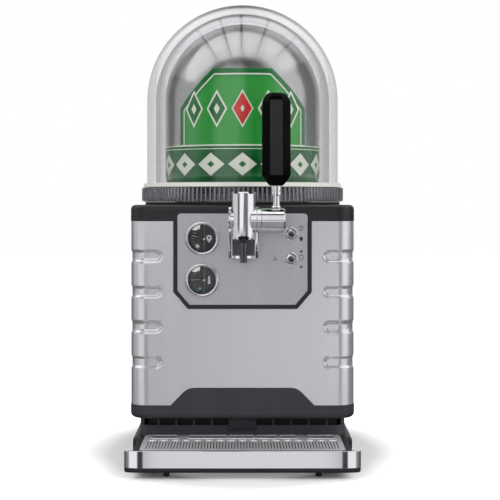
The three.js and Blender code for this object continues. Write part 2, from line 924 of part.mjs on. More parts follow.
function makePanel() {
  const plate = prismBack(panelOutline(0), panelFrontY, panelFrontY + panelThick);
  const front = panelFrontY + panelThick + cutOverrun;
  const reach = panelThick + 2 * cutOverrun;
  const hole = (radius, x, z, steps) => turnedFront(rodProfile(radius, 0, reach), steps, x, front, z);
  return cut(
    plate,
    hole(gaugeCaseRadius + seatGap, gaugeX, pressureGaugeZ, 24),
    hole(gaugeCaseRadius + seatGap, gaugeX, temperatureGaugeZ, 24),
    hole(toggleBushRadius + seatGap, toggleX, lightToggleZ, 16),
    hole(toggleBushRadius + seatGap, toggleX, coolingToggleZ, 16),
    beerLineTool(),
  );
}

function makeGaugeCase(z) {
  const dial = -gaugeDialSink;
  const profile = [
    [0, -gaugeCaseDepth],
    [gaugeCaseRadius - gaugeRimWall, -gaugeCaseDepth],
    [gaugeCaseRadius, -gaugeCaseDepth + gaugeRimWall],
    [gaugeCaseRadius, 0],
    [gaugeCaseRadius - gaugeRimWall, 0],
    [gaugeCaseRadius - gaugeRimWall, dial],
    [needlePinRadius + runningGap, dial],
    [needlePinRadius + runningGap, dial - needlePinDepth],
    [0, dial - needlePinDepth],
  ];
  return turnedFront(profile, 20, gaugeX, panelFrontY, z);
}

function makeGaugeBezel(z) {
  const [inner, outer, deep] = [gaugeGlassRadius, gaugeBezelRadius, gaugeBezelDepth];
  const crown = outer - (outer - inner) / 2;
  const profile = [
    [inner, 0],
    [outer, 0],
    [outer, deep / 2],
    [crown, deep],
    [inner, deep / 2],
    [inner, 0],
  ];
  return turnedFront(profile, 24, gaugeX, panelFrontY - seatGap, z);
}

function makeGaugeGlass(z) {
  const profile = rodProfile(gaugeGlassRadius - seatGap, 0, gaugeGlassThick);
  return turnedFront(profile, 24, gaugeX, panelFrontY - seatGap, z);
}

// The needle lies along -X at zero and turns clockwise, seen from the front, as its angle grows
function makeNeedle(z, degrees) {
  const dial = -gaugeDialSink;
  const low = dial + needleLift;
  const blade = prismBack(
    [[-needleLength, 0], [needleHubRadius / 2, -needleWidth / 2], [needleTail, -needleWidth / 2],
      [needleTail, needleWidth / 2], [needleHubRadius / 2, needleWidth / 2]],
    -low - needleThick,
    -low,
  );
  const hub = turnedFront(rodProfile(needleHubRadius, low, low + needleThick), 12, 0, 0, 0);
  const pinLow = dial - needlePinDepth + runningGap;
  const pin = turnedFront(rodProfile(needlePinRadius, pinLow, low + needleThick / 2), 8, 0, 0, 0);
  return join(blade, hub, pin).rotate([0, degrees, 0]).translate([gaugeX, panelFrontY, z]);
}

function hexPoints(radius) {
  return arcPoints([0, 0], [radius, radius], 0, 300, 5);
}

function makeToggleBody(z) {
  const back = panelThick + seatGap;
  const nutLow = seatGap;
  const box = block(
    [toggleX - toggleBoxWidth / 2, panelFrontY + back, z - toggleBoxHeight / 2],
    [toggleX + toggleBoxWidth / 2, panelFrontY + back + toggleBoxDepth, z + toggleBoxHeight / 2],
  );
  const turnedHere = (profile, steps) => turnedFront(profile, steps, toggleX, panelFrontY, z);
  const bush = turnedHere(rodProfile(toggleBushRadius, -back - seatGap, nutLow + seatGap), 16);
  const nut = prismBack(
    hexPoints(toggleNutRadius).map(([x, up]) => [x + toggleX, up + z]),
    panelFrontY - nutLow - toggleNutThick,
    panelFrontY - nutLow,
  );
  const neck = turnedHere(rodProfile(toggleNeckRadius, nutLow, nutLow + toggleNeckReach), 16);
  const face = nutLow + toggleNeckReach;
  const floor = face - toggleBatSeat - runningGap;
  const mouthProfile = [
    [0, floor],
    [toggleBatRootRadius + 2 * runningGap, floor],
    [toggleMouthRadius, face + runningGap],
    [0, face + runningGap],
  ];
  return cut(join(box, bush, nut, neck), turnedHere(mouthProfile, 12));
}

function makeToggleBat(z) {
  const root = seatGap + toggleNeckReach - toggleBatSeat + runningGap;
  const tip = root + toggleBatLength;
  const round = toggleBatTipRadius / 2;
  const profile = [
    [0, root],
    [toggleBatRootRadius, root],
    [toggleBatRootRadius, root + toggleBatSeat],
    [toggleBatTipRadius, tip - 2 * round],
    [toggleBatTipRadius, tip - round],
    [toggleBatTipRadius - round, tip],
    [0, tip],
  ];
  return turnedFront(profile, 12, toggleX, panelFrontY, z);
}

function makeLens() {
  const radius = lensSide / Math.sqrt(3);
  const outline = arcPoints([lensX, lensZ], [radius, radius], 90, 330, 2);
  return prismBack(outline, panelFrontY - seatGap - lensThick, panelFrontY - seatGap);
}

// Tap

function pivotEnvelope(grow) {
  const profile = rodProfile(pivotRadius + grow, -bossReach - grow, collarReach + grow);
  return turnedAcross(profile, 32, tapX, tapY, pivotZ);
}

function makeBracket() {
  const half = bracketWidth / 2;
  const top = bracketBottom + bracketHeight;
  const front = tapY + bracketFront;
  const base = block([tapX - half, front, bracketBottom], [tapX + half, bracketBackY, top]);
  const saddle = turnedUp(
    rodProfile(barrelRadius + seatGap, barrelBottom - bracketHeight, top + cutOverrun),
    32,
    tapX,
    tapY,
  );
  const [low, high] = [bracketBottom + bracketLip, bracketBottom + bracketLip + bracketRecessHeight];
  const recess = prismBack(
    [[tapX - bracketRecessBaseHalfWidth, low], [tapX + bracketRecessBaseHalfWidth, low],
      [tapX + bracketRecessTopHalfWidth, high], [tapX - bracketRecessTopHalfWidth, high]],
    front - cutOverrun,
    front + bracketRecessDepth,
  );
  return cut(base, saddle, recess, pivotEnvelope(seatGap), beerLineTool());
}

function makeBarrel() {
  const top = barrelBottom + barrelHeight;
  const body = turnedUp(
    [[0, barrelBottom], [barrelRadius, barrelBottom], [barrelRadius, top - barrelChamfer],
      [barrelRadius - barrelChamfer, top], [0, top]],
    28,
    tapX,
    tapY,
  );
  const collar = turnedAcross(rodProfile(pivotRadius, 0, collarReach), 28, tapX, tapY, pivotZ);
  const boss = turnedAcross(rodProfile(bossRadius, -bossReach, 0), 16, tapX, tapY, pivotZ);
  const bore = turnedUp(rodProfile(barrelBore, barrelBottom - cutOverrun, top - barrelRoof), 20, tapX, tapY);
  const spindleHole = turnedAcross(
    rodProfile(spindleRadius + runningGap, 0, collarReach + cutOverrun),
    16,
    tapX,
    tapY,
    pivotZ,
  );
  const arch = solidOf(
    turned(rodProfile(archRadius, 0, barrelRadius + cutOverrun), 20)
      .rotateX(Math.PI / 2)
      .translate(tapX, tapY, barrelBottom - archDrop),
  );
  const notches = [-1, 1].map((side) => {
    const near = tapX + side * crownTabHalfWidth;
    const far = near + side * crownNotchWidth;
    return block(
      [Math.min(near, far), tapY - barrelRadius - cutOverrun, top - crownNotchDepth],
      [Math.max(near, far), tapY + barrelRadius + cutOverrun, top + cutOverrun],
    );
  });
  return cut(join(body, collar, boss), bore, spindleHole, arch, ...notches, beerLineTool());
}

function makeNozzle() {
  const inner = spoutRadius + seatGap;
  const top = nozzleBottom + nozzleHeight + nozzleFlangeThick;
  const profile = [
    [inner, nozzleBottom],
    [nozzleRadius, nozzleBottom],
    [nozzleRadius, nozzleBottom + nozzleHeight],
    [barrelBore - seatGap, nozzleBottom + nozzleHeight],
    [barrelBore - seatGap, top],
    [inner, top],
    [inner, nozzleBottom],
  ];
  return turnedUp(profile, 20, tapX, tapY);
}

function makeSpout() {
  return turnedUp(
    tubeProfile(spoutBore, spoutRadius, barrelBottom - spoutFall, barrelBottom + spoutRise),
    12,
    tapX,
    tapY,
  );
}

// Lever

const sleeveStart = tapX + collarReach + runningGap;
const sleeveEnd = sleeveStart + sleeveLength;

function makeSleeve() {
  const bore = spindleRadius + seatGap;
  const profile = tubeProfile(bore, pivotRadius, sleeveStart, sleeveEnd);
  const body = turnedAcross(profile, 28, 0, tapY, pivotZ);
  const seat = turnedUp(
    rodProfile(stemRadius + seatGap, pivotZ + pivotRadius - stemSeatDepth, pivotZ + pivotRadius + cutOverrun),
    16,
    stemX,
    tapY,
  );
  return cut(body, seat);
}

function makeSpindle() {
  const start = tapX + spindleInnerReach;
  const body = turnedAcross(rodProfile(spindleRadius, start, sleeveEnd), 16, 0, tapY, pivotZ);
  const flat = block(
    [start - cutOverrun, tapY + spindleFlat, pivotZ - barrelRadius],
    [tapX + barrelBore, tapY + barrelRadius, pivotZ + barrelRadius],
  );
  return cut(body, flat);
}

function makeStem() {
  const root = pivotZ + pivotRadius - stemSeatDepth + seatGap;
  const ferruleTop = gripBottom - seatGap;
  const profile = [
    [0, root],
    [stemRadius, root],
    [stemRadius, ferruleBottom],
    [ferruleRadius, ferruleBottom],
    [ferruleRadius, ferruleTop],
    [gripRodRadius, ferruleTop],
    [gripRodRadius, gripBottom + gripRodLength],
    [0, gripBottom + gripRodLength],
  ];
  return turnedUp(profile, 14, stemX, tapY);
}

function gripOutline(half, depth, inset = 0) {
  const shareX = (half - inset) / gripHalfWidth;
  const shareY = (depth - inset) / gripHalfDepth;
  const [w, d] = [gripHalfWidth * shareX, gripHalfDepth * shareY];
  const [fw, fd] = [gripFacetHalfWidth * shareX, gripFacetHalfDepth * shareY];
  return [[w, -fd], [w, fd], [fw, d], [-fw, d], [-w, fd], [-w, -fd], [-fw, -d], [fw, -d]]
    .map(([x, y]) => [x + stemX, y + tapY]);
}

function makeGrip() {
  const top = gripBottom + gripHeight;
  const roundShares = [[0, 0], [0.3, 0.6], [0.85, 1]];
  const foot = gripOutline(gripFootHalfWidth, gripFootHalfWidth);
  const full = gripOutline(gripHalfWidth, gripHalfDepth);
  const crowns = roundShares.map(([insetShare]) => {
    return gripOutline(gripHalfWidth, gripHalfDepth, gripTopRound * insetShare);
  });
  const crownHeights = roundShares.map(([, riseShare]) => top - gripTopRound * (1 - riseShare));
  const body = stacked([foot, full, ...crowns], [gripBottom, gripBottom + gripTaperHeight, ...crownHeights]);
  const rodHole = turnedUp(
    rodProfile(gripRodRadius + seatGap, gripBottom - cutOverrun, gripBottom + gripRodLength + seatGap),
    12,
    stemX,
    tapY,
  );
  return cut(body, rodHole);
}

// Keg

const shoulderReach = kegRadius - kegNeckRadius;
const shoulderRise = kegShoulderTop - kegShoulderBottom;

function makeKeg() {
  const profile = [
    [0, kegNeckBottom],
    [kegNeckRadius, kegNeckBottom],
    ...arcPoints([kegNeckRadius, kegShoulderTop], [shoulderReach, shoulderRise], -90, 0, 4),
    ...arcPoints([0, kegDomeZ], [kegRadius, kegRadius], 0, 90, 6),
  ];
  return turnedUp(profile, 32, 0, chamberY);
}

function makeKegCap() {
  const inner = kegCapRadius - kegCapWall;
  const profile = [
    [0, kegCapBottom],
    [kegCapRadius, kegCapBottom],
    [kegCapRadius, kegCapTop],
    [inner, kegCapTop],
    [inner, kegNeckBottom - seatGap],
    [0, kegNeckBottom - seatGap],
  ];
  return turnedUp(profile, 20, 0, chamberY);
}

// The cradle's seat follows the tangent of the shoulder at the middle of the seat
function makeCradle() {
  const middle = (cradleInner + cradleOuter) / 2;
  const turn = Math.asin((middle - kegNeckRadius) / shoulderReach);
  const touchZ = kegShoulderTop - shoulderRise * Math.cos(turn);
  const slope = (shoulderRise * Math.sin(turn)) / (shoulderReach * Math.cos(turn));
  const seatZ = (radius) => touchZ + slope * (radius - middle) - seatGap;
  const profile = [
    [cradleInner, cradleBottom],
    [cradleOuter, cradleBottom],
    [cradleOuter, seatZ(cradleOuter)],
    [cradleInner, seatZ(cradleInner)],
    [cradleInner, cradleBottom],
  ];
  const legInner = middle - cradleLegWidth / 2;
  const legs = cradleLegAngles.map((degrees) => block(
    [legInner, -cradleLegWidth / 2, linerFloorTop + seatGap],
    [legInner + cradleLegWidth, cradleLegWidth / 2, cradleBottom + seatGap],
  ).rotate([0, 0, degrees]).translate([0, chamberY, 0]));
  return join(turnedUp(profile, 28, 0, chamberY), ...legs);
}

function makeCoupler() {
  const low = linerFloorTop + seatGap;
  const socketFloor = kegCapBottom - seatGap;
  const profile = [
    [0, low - couplerTailLength],
    [couplerTailRadius, low - couplerTailLength],
    [couplerTailRadius, low],
    [couplerFlangeRadius, low],
    [couplerFlangeRadius, low + couplerFlangeThick],
    [couplerRadius, low + couplerFlangeThick],
    [couplerRadius, couplerTop],
    [kegCapRadius + seatGap, couplerTop],
    [kegCapRadius + seatGap, socketFloor],
    [0, socketFloor],
  ];
  const port = turnedFront(rodProfile(couplerPortRadius, 0, couplerPortReach), 12, 0, chamberY, couplerPortZ);
  return join(turnedUp(profile, 20, 0, chamberY), port);
}

// Lines

function makeBeerLine() {
  return tubeAlong(beerLinePath(), beerLineRadius, 12, 8);
}

function makeAirLine() {
  const pumpTop = plinthFloorTop + seatGap + pumpHeight + pumpHeadHeight;
  const start = new THREE.Vector3(pumpX, pumpY, pumpTop + seatGap);
  const end = new THREE.Vector3(0, chamberY, linerFloorTop - couplerTailLength);
  const path = new THREE.CubicBezierCurve3(
    start,
    start.clone().setZ(end.z - airLineRise),
    end.clone().setZ(start.z + airLineRise),
    end,
  );
  return tubeAlong(path, airLineRadius, 14, 8);
}

// Cooling

function combOutline(low, high, pitch, thick, spine) {
  const points = [];
  for (let x = low[0]; x + thick <= high[0]; x += pitch) {
    points.push([x, low[1] + spine], [x, high[1]], [x + thick, high[1]], [x + thick, low[1] + spine]);
  }
  return [[low[0], low[1]], ...points, [high[0], low[1] + spine], [high[0], low[1]]];
}

// Fins hang from a spine under the fan
function makeEvaporator() {
  const top = fanTop - fanPlateDepth - seatGap;
  const corners = [[-coolerHalfWidth, 0], [coolerHalfWidth, coolerHeight]];
  const outline = combOutline(...corners, finPitch, finThick, finSpine);
  const points = outline.map(([x, up]) => [x, top - up]);
  return prismBack(points, fanY - coolerDepth / 2, fanY + coolerDepth / 2);
}

function makeCondenser() {
  const high = neckBackY - neckWall - condenserBackGap + condenserDepth / 2;
  const [front, back] = [high - condenserDepth, high];
  const [low, top] = [condenserBottom, condenserBottom + condenserHeight];
  const [left, right] = [condenserX - condenserHalfWidth, condenserX + condenserHalfWidth];
  const comb = prismBack(combOutline([left, low], [right, top], finPitch, finThick, finSpine), front, back);
  const legs = [left, right - condenserLegWidth].map((x) => block(
    [x, front, plinthFloorTop + seatGap],
    [x + condenserLegWidth, back, low + finSpine],
  ));
  return join(comb, ...legs);
}

const condenserFrontY = neckBackY - neckWall - condenserBackGap - condenserDepth / 2;
const bigFanZ = condenserBottom + condenserHeight / 2;

// A square frame with a round bore, struts and a motor seat, its back at height 0
function fanFrame(half, bore, depth) {
  const corner = half - bore;
  const hole = arcPoints([0, 0], [bore, bore], 0, 342, 19);
  const ring = prismUp(roundedPoints([-half, -half], [half, half], corner, 3), 0, depth, [hole]);
  const hub = turnedUp(rodProfile(bore * fanHubShare, 0, fanMotorDepth), 16, 0, 0);
  const reach = bore + corner / 2;
  const strut = block([-reach, -fanStrutWidth / 2, 0], [reach, fanStrutWidth / 2, fanMotorDepth]);
  return join(ring, hub, strut, strut.rotate([0, 0, 90]));
}

function fanWheel(bore, depth) {
  const hubRadius = bore * fanHubShare;
  const low = fanMotorDepth + runningGap;
  const hub = turnedUp(rodProfile(hubRadius, low, depth - runningGap), 16, 0, 0);
  const reach = bore - 2 * runningGap;
  const middle = (low + depth) / 2;
  const bladeHeight = (depth - low) * Math.cos(THREE.MathUtils.degToRad(bladePitchAngle));
  const upright = block(
    [hubRadius / 2, -bladeThick / 2, -bladeHeight / 2],
    [reach, bladeThick / 2, bladeHeight / 2],
  );
  const blade = upright.rotate([bladePitchAngle, 0, 0]).translate([0, 0, middle]);
  const step = 360 / bladeCount;
  const blades = Array.from({ length: bladeCount }, (unused, turn) => blade.rotate([0, 0, turn * step]));
  const rim = turnedUp(rodProfile(reach, 0, depth), 24, 0, 0);
  return join(hub, ...blades).intersect(rim);
}

function underLiner(solid) {
  return solid.translate([0, fanY, fanTop - fanPlateDepth]);
}

function beforeCondenser(solid) {
  return solid.rotate([90, 0, 0]).translate([condenserX, condenserFrontY - seatGap, bigFanZ]);
}

function makeCompressor() {
  const low = plinthFloorTop + seatGap;
  const base = low + potPlateThick;
  const top = base + potHeight;
  const profile = [
    [0, low],
    [potRadius - potRound, low],
    ...arcPoints([potRadius - potRound, base + potRound], [potRound, potRound], -90, 0, 2),
    ...arcPoints([potRadius - potRound, top - potRound], [potRound, potRound], 0, 90, 2),
    [0, top],
  ];
  const plate = block(
    [potX - potPlateHalfWidth, potY - potPlateHalfDepth, low],
    [potX + potPlateHalfWidth, potY + potPlateHalfDepth, base],
  );
  return join(plate, turnedUp(profile, 20, potX, potY));
}

function makePump() {
  const low = plinthFloorTop + seatGap;
  const body = block(
    [pumpX - pumpHalfWidth, pumpY - pumpHalfDepth, low],
    [pumpX + pumpHalfWidth, pumpY + pumpHalfDepth, low + pumpHeight],
  );
  const headProfile = rodProfile(pumpHeadRadius, low, low + pumpHeight + pumpHeadHeight);
  return join(body, turnedUp(headProfile, 16, pumpX, pumpY));
}

// The board stands on four posts off the left wall of the shell
function makeBoard() {
  const wallX = -halfWidth + shellReveal + shellWall + seatGap;
  const face = wallX + boardStandoff;
  const highY = boardLowY + boardLength;
  const highZ = boardBottom + boardHeight;
  const plate = block([face, boardLowY, boardBottom], [face + boardThick, highY, highZ]);
  const postHeights = [boardBottom + boardEdge, highZ - boardEdge];
  const corners = postHeights.flatMap((z) => [[boardLowY + boardEdge, z], [highY - boardEdge, z]]);
  const posts = corners.map(([y, z]) => turnedAcross(
    rodProfile(boardStandoffRadius, wallX, face + boardThick / 2),
    8,
    0,
    y,
    z,
  ));
  const chips = [1, 2].map((place) => {
    const z = boardBottom + (boardHeight * place) / 3;
    return block(
      [face + boardThick / 2, boardLowY + chipSide, z - chipSide / 2],
      [face + boardThick + chipHeight, boardLowY + 2 * chipSide, z + chipSide / 2],
    );
  });
  return join(plate, ...posts, ...chips);
}

// Dome

function domeShell(outer, steps, rings) {
  const inner = outer - domeWall;
  const profile = [
    [inner, domeBottom],
    [outer, domeBottom],
    ...arcPoints([0, domeCentreZ], [outer, outer], 0, 90, rings),
    ...arcPoints([0, domeCentreZ], [inner, inner], 90, 0, rings),
    [inner, domeBottom],
  ];
  return turnedUp(profile, steps, 0, chamberY);
}

function makeDomeRing() {
  const core = ringRadius - ribDepth;
  const ribbedTop = ringBottom + ribbedHeight;
  const top = ringBottom + ringHeight;
  const inner = domeRadius + seatGap * 2;
  const floorTop = ringBottom + ringFloor;
  const profile = [
    [seatRingInner - seatGap - domeWall, ringBottom],
    [core, ringBottom],
    [core, ribbedTop],
    [ringFlangeRadius, ribbedTop + (ringRadius - ringFlangeRadius) / 2],
    [ringFlangeRadius, top],
    [inner, top],
    [inner, floorTop],
    [seatRingInner - seatGap - domeWall, floorTop],
    [seatRingInner - seatGap - domeWall, ringBottom],
  ];
  const ribs = Array.from({ length: 2 * ribCount }, (unused, step) => {
    const angle = (Math.PI * step) / ribCount;
    const radius = step % 2 === 0 ? ringRadius : core - seatGap;
    return [radius * Math.cos(angle), radius * Math.sin(angle)];
  });
  const hole = arcPoints([0, 0], [core - domeWall, core - domeWall], 0, 350, 35);
  const ribbed = prismUp(ribs, ringBottom + ribMargin, ribbedTop - ribMargin, [hole]);
  const band = ribbed.translate([0, chamberY, 0]);
  return join(turnedUp(profile, 36, 0, chamberY), band);
}

// Drip tray

function bumperOutline(inset) {
  const half = halfWidth - inset;
  const backLine = fasciaY + bumperDepth;
  const turn = [half - bumperEndLength + inset, backLine];
  const radii = [bumperEndLength - inset, bumperDepth - inset];
  return [
    ...arcPoints([-turn[0], turn[1]], radii, 180, 270, 5),
    ...arcPoints([turn[0], turn[1]], radii, 270, 360, 5),
  ];
}

function makeTub() {
  const plan = { half: tubHalfWidth, front: fasciaY + bumperDepth, back: tubBackY, corner: tubCorner };
  const outer = roundedBlock(plan, tubBottom, tubTop);
  const inner = roundedBlock(insetPlan(plan, tubWall), tubBottom + tubWall, tubTop + cutOverrun);
  const core = prismUp(bumperOutline(fasciaThick + seatGap), plinthBottom, bumperTop);
  const lip = fasciaBottom - seatGap;
  const foot = stacked(
    [bumperOutline(bumperDepth / 2), bumperOutline(bumperDepth / 6), bumperOutline(0), bumperOutline(0)],
    [plinthBottom, plinthBottom + (lip - plinthBottom) / 4, plinthBottom + (lip - plinthBottom) / 2, lip],
  );
  const tie = block(
    [-halfWidth + bumperEndLength, fasciaY + bumperDepth - tubWall, tubBottom],
    [halfWidth - bumperEndLength, fasciaY + bumperDepth + tubWall, tubTop],
  );
  const pegProfile = rodProfile(pegRadius, 0, tubBottom + tubWall);
  const pegs = [-pegX, pegX].map((x) => turnedUp(pegProfile, 16, x, fasciaY + pegInset));
  return join(cut(outer, inner), core, foot, tie, ...pegs);
}

function makeFascia() {
  const outer = prismUp(bumperOutline(0), fasciaBottom, fasciaTop);
  const inner = prismUp(bumperOutline(fasciaThick), fasciaBottom - cutOverrun, fasciaTop + cutOverrun);
  const behind = block(
    [-halfWidth + fasciaThick, fasciaY + bumperDepth - seatGap, fasciaBottom - cutOverrun],
    [halfWidth - fasciaThick, fasciaY + bumperDepth + cutOverrun, fasciaTop + cutOverrun],
  );
  return cut(outer, inner, behind);
}

function makeGrille() {
  const low = tubTop + seatGap;
  const high = low + grilleThick;
  const corner = tubCorner - grilleMargin;
  const slots = [];
  for (let x = -slotHalfSpan; x <= slotHalfSpan; x += slotPitch) {
    const [front, back] = [grilleFrontY + slotLowInset, grilleFrontY + slotLowInset + slotLength];
    slots.push([[x, front], [x + slotWidth, front], [x + slotWidth, back], [x, back]]);
  }
  for (let x = -holePitch * Math.floor(slotHalfSpan / holePitch); x <= slotHalfSpan; x += holePitch) {
    slots.push(arcPoints([x, fasciaY + holeInset], [holeRadius, holeRadius], 30, 330, 5));
  }
  longSlotShares.forEach((ends) => {
    const [left, right] = ends.map((share) => share * grilleHalf);
    const [front, back] = [fasciaY + longSlotInset, fasciaY + longSlotInset + longSlotDepth];
    slots.push([[left, front], [right, front], [right, back], [left, back]]);
  });
  const corners = [[-grilleHalf, grilleFrontY], [grilleHalf, grilleBackY]];
  const plate = prismUp(roundedPoints(...corners, corner, 3), low, high);
  const tools = slots.map((slot) => prismUp(slot, low - cutOverrun, high + cutOverrun));
  return cut(plate, join(...tools));
}

// Finishes

function finish(color, roughness, metalness, opacity = 1) {
  const see = { transparent: opacity < 1, opacity };
  return () => new THREE.MeshStandardMaterial({ color, roughness, metalness, ...see });
}

const brushedSteel = finish('#c4c5c9', 0.36, 1);
const panelSteel = finish('#a6a7ab', 0.4, 1);
const chrome = finish('#dadbde', 0.12, 1);
const blackMoulding = finish('#2e2d32', 0.55, 0);
const glossBlack = finish('#1b1b1f', 0.2, 0);
const rubber = finish('#1c1c1d', 0.9, 0);
const galvanised = finish('#9da0a2', 0.5, 0.8);
const enamelBlack = finish('#1e1f22', 0.45, 0.1);
const aluminium = finish('#b9bcc0', 0.45, 0.9);
const copper = finish('#b87146', 0.35, 0.9);
const boardGreen = finish('#1d5a38', 0.6, 0);
const whitePlastic = finish('#e6e6e2', 0.5, 0);
const clearPlastic = finish('#e4e8ee', 0.08, 0, 0.25);
const ringPlastic = finish('#8a8b90', 0.3, 0, 0.8);
const glass = finish('#eef3f5', 0.05, 0, 0.3);
const kegFilm = finish('#2b9a3a', 0.35, 0.3);
const needleWhite = finish('#e9e9e6', 0.5, 0);
const lensGrey = finish('#6d6e73', 0.3, 0);

// Assembly

const assembly = new THREE.Group();

function add(name, solid, look) {
  const mesh = new THREE.Mesh(geometryOf(solid), look());
  mesh.name = name;
  assembly.add(mesh);
}

Object.entries(footPlaces()).forEach(([name, [x, y]]) => add(name, makeFoot(x, y), rubber));
add('base_plinth', makePlinth(), blackMoulding);
add('vent_neck', makeNeck(), blackMoulding);
add('base_skirt', makeSkirt(), blackMoulding);
add('outer_shell', makeShell(), brushedSteel);
add('rear_panel', makeRearPanel(), galvanised);
add('power_inlet', makeInlet(), glossBlack);
add('top_cover', makeCover(), blackMoulding);
add('seat_ring', makeSeatRing(), rubber);
add('chamber_liner', makeLiner(), whitePlastic);

add('panel_bezel', makeBezel(), blackMoulding);
add('control_panel', makePanel(), panelSteel);
[
  ['pressure', pressureGaugeZ, pressureNeedleAngle],
  ['temperature', temperatureGaugeZ, temperatureNeedleAngle],
].forEach(([name, z, angle]) => {
  add(`${name}_gauge_case`, makeGaugeCase(z), glossBlack);
  add(`${name}_gauge_bezel`, makeGaugeBezel(z), chrome);
  add(`${name}_gauge_glass`, makeGaugeGlass(z), glass);
  add(`${name}_needle`, makeNeedle(z, angle), needleWhite);
});
[['light', lightToggleZ], ['cooling', coolingToggleZ]].forEach(([name, z]) => {
  add(`${name}_switch_body`, makeToggleBody(z), chrome);
  add(`${name}_switch_bat`, makeToggleBat(z), chrome);
});
add('indicator_lens', makeLens(), lensGrey);

add('tap_bracket', makeBracket(), chrome);
add('tap_barrel', makeBarrel(), chrome);
add('nozzle_collar', makeNozzle(), chrome);
add('spout_tube', makeSpout(), glossBlack);
add('lever_sleeve', makeSleeve(), chrome);
add('valve_spindle', makeSpindle(), chrome);
add('lever_stem', makeStem(), chrome);
add('lever_grip', makeGrip(), glossBlack);

add('keg_shell', makeKeg(), kegFilm);
add('keg_cap', makeKegCap(), glossBlack);
add('keg_cradle', makeCradle(), whitePlastic);
add('keg_coupler', makeCoupler(), whitePlastic);
add('beer_line', makeBeerLine(), clearPlastic);
add('air_line', makeAirLine(), clearPlastic);

add('evaporator', makeEvaporator(), aluminium);
add('circulation_fan_frame', underLiner(fanFrame(fanPlateHalf, fanBore, fanPlateDepth)), glossBlack);
add('circulation_fan', underLiner(fanWheel(fanBore, fanPlateDepth)), glossBlack);
add('compressor', makeCompressor(), enamelBlack);
add('condenser', makeCondenser(), copper);
add('condenser_fan_frame', beforeCondenser(fanFrame(bigFanPlateHalf, bigFanBore, fanPlateDepth)), glossBlack);
add('condenser_fan', beforeCondenser(fanWheel(bigFanBore, fanPlateDepth)), glossBlack);
add('air_pump', makePump(), enamelBlack);
add('control_board', makeBoard(), boardGreen);

add('dome_outer', domeShell(domeRadius, 32, 6), clearPlastic);
add('dome_inner', domeShell(innerDomeRadius, 28, 5), clearPlastic);
add('dome_ring', makeDomeRing(), ringPlastic);

add('tray_tub', makeTub(), blackMoulding);
add('tray_fascia', makeFascia(), brushedSteel);
add('drip_grille', makeGrille(), brushedSteel);

export default assembly;
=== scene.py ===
"""Mini keg beer dispenser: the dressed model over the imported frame.

Metres, +Z up, the tap and the control panel face -Y. Pieces are drawn as outlines or
profiles, shaped with Blender's own tools, and each rides on the body that carries it.
"""
import math

import bpy
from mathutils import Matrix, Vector


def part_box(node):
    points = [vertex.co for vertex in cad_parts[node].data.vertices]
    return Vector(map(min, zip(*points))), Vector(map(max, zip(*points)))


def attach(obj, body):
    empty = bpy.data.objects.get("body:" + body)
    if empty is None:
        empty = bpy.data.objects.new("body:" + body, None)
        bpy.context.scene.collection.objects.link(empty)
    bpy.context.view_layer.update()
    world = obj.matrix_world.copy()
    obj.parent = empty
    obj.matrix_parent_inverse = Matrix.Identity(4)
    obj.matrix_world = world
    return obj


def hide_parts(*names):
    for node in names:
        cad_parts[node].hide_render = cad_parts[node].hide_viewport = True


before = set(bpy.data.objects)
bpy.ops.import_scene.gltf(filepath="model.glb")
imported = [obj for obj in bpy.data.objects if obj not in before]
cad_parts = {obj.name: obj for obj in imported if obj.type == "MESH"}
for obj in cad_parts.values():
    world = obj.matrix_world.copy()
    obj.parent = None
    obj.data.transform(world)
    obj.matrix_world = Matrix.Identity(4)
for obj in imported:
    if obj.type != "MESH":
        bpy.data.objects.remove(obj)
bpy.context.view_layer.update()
bpy.context.scene.view_settings.view_transform = "Standard"

# Places taken from the frame
SHELL_LOW, SHELL_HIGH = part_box("outer_shell")
SKIRT_LOW, SKIRT_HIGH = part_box("base_skirt")
PLINTH_LOW, PLINTH_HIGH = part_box("base_plinth")
NECK_LOW, NECK_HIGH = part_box("vent_neck")
COVER_LOW, COVER_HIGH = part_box("top_cover")
PANEL_LOW, PANEL_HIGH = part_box("control_panel")
RING_LOW, RING_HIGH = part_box("dome_ring")
DOME_LOW, DOME_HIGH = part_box("dome_outer")
INNER_DOME_LOW, INNER_DOME_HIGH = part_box("dome_inner")
KEG_LOW, KEG_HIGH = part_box("keg_shell")
FRONT_Y = COVER_LOW[1]
BACK_Y = COVER_HIGH[1]
HALF_WIDTH = COVER_HIGH[0]
CHAMBER_Y = (RING_LOW[1] + RING_HIGH[1]) / 2
CHAMBER = (0, CHAMBER_Y, 0)

# Modelling tolerances; an overrun carries a cutter past what it cuts
SEED = 0.01
WELD = 0.000002
GAP = 0.0003
OVERRUN = 0.01
SMOOTH_DEGREES = 30

# Cabinet
BODY_CORNER = 0.026
COVER_ROUND = 0.006
COVER_WALL = 0.004
CHAMBER_RADIUS = 0.123
PANEL_RECESS = 0.0023
SKIRT_ROUND = 0.007
SKIRT_WALL = 0.0035
SKIRT_FLOOR = 0.0045
SKIRT_MOUTH_FRONT = -0.088
SKIRT_LEDGE = 0.006
APRON_TOP = SKIRT_HIGH[2]
SKIRT_TOP = SHELL_LOW[2] - GAP
APRON_TOP_HALF = 0.076
APRON_BASE_HALF = 0.100
APRON_CORNER = 0.009
APRON_DEPTH = 0.003

# Steel jacket and its grooves
SHELL_REVEAL = 0.0006
SHELL_WALL = 0.0015
SHELL_RETURN = 0.036
GROOVE_LEVELS = [SHELL_LOW[2] + 0.0596 + row * 0.0492 for row in range(4)]
GROOVE_HALF_HEIGHT = 0.0065
GROOVE_DEPTH = 0.0021
GROOVE_REACH = 0.0433
GROOVE_SIDE_END = FRONT_Y + 0.042
GROOVE_EASE = 0.0035
GROOVE_STEP = 0.0016

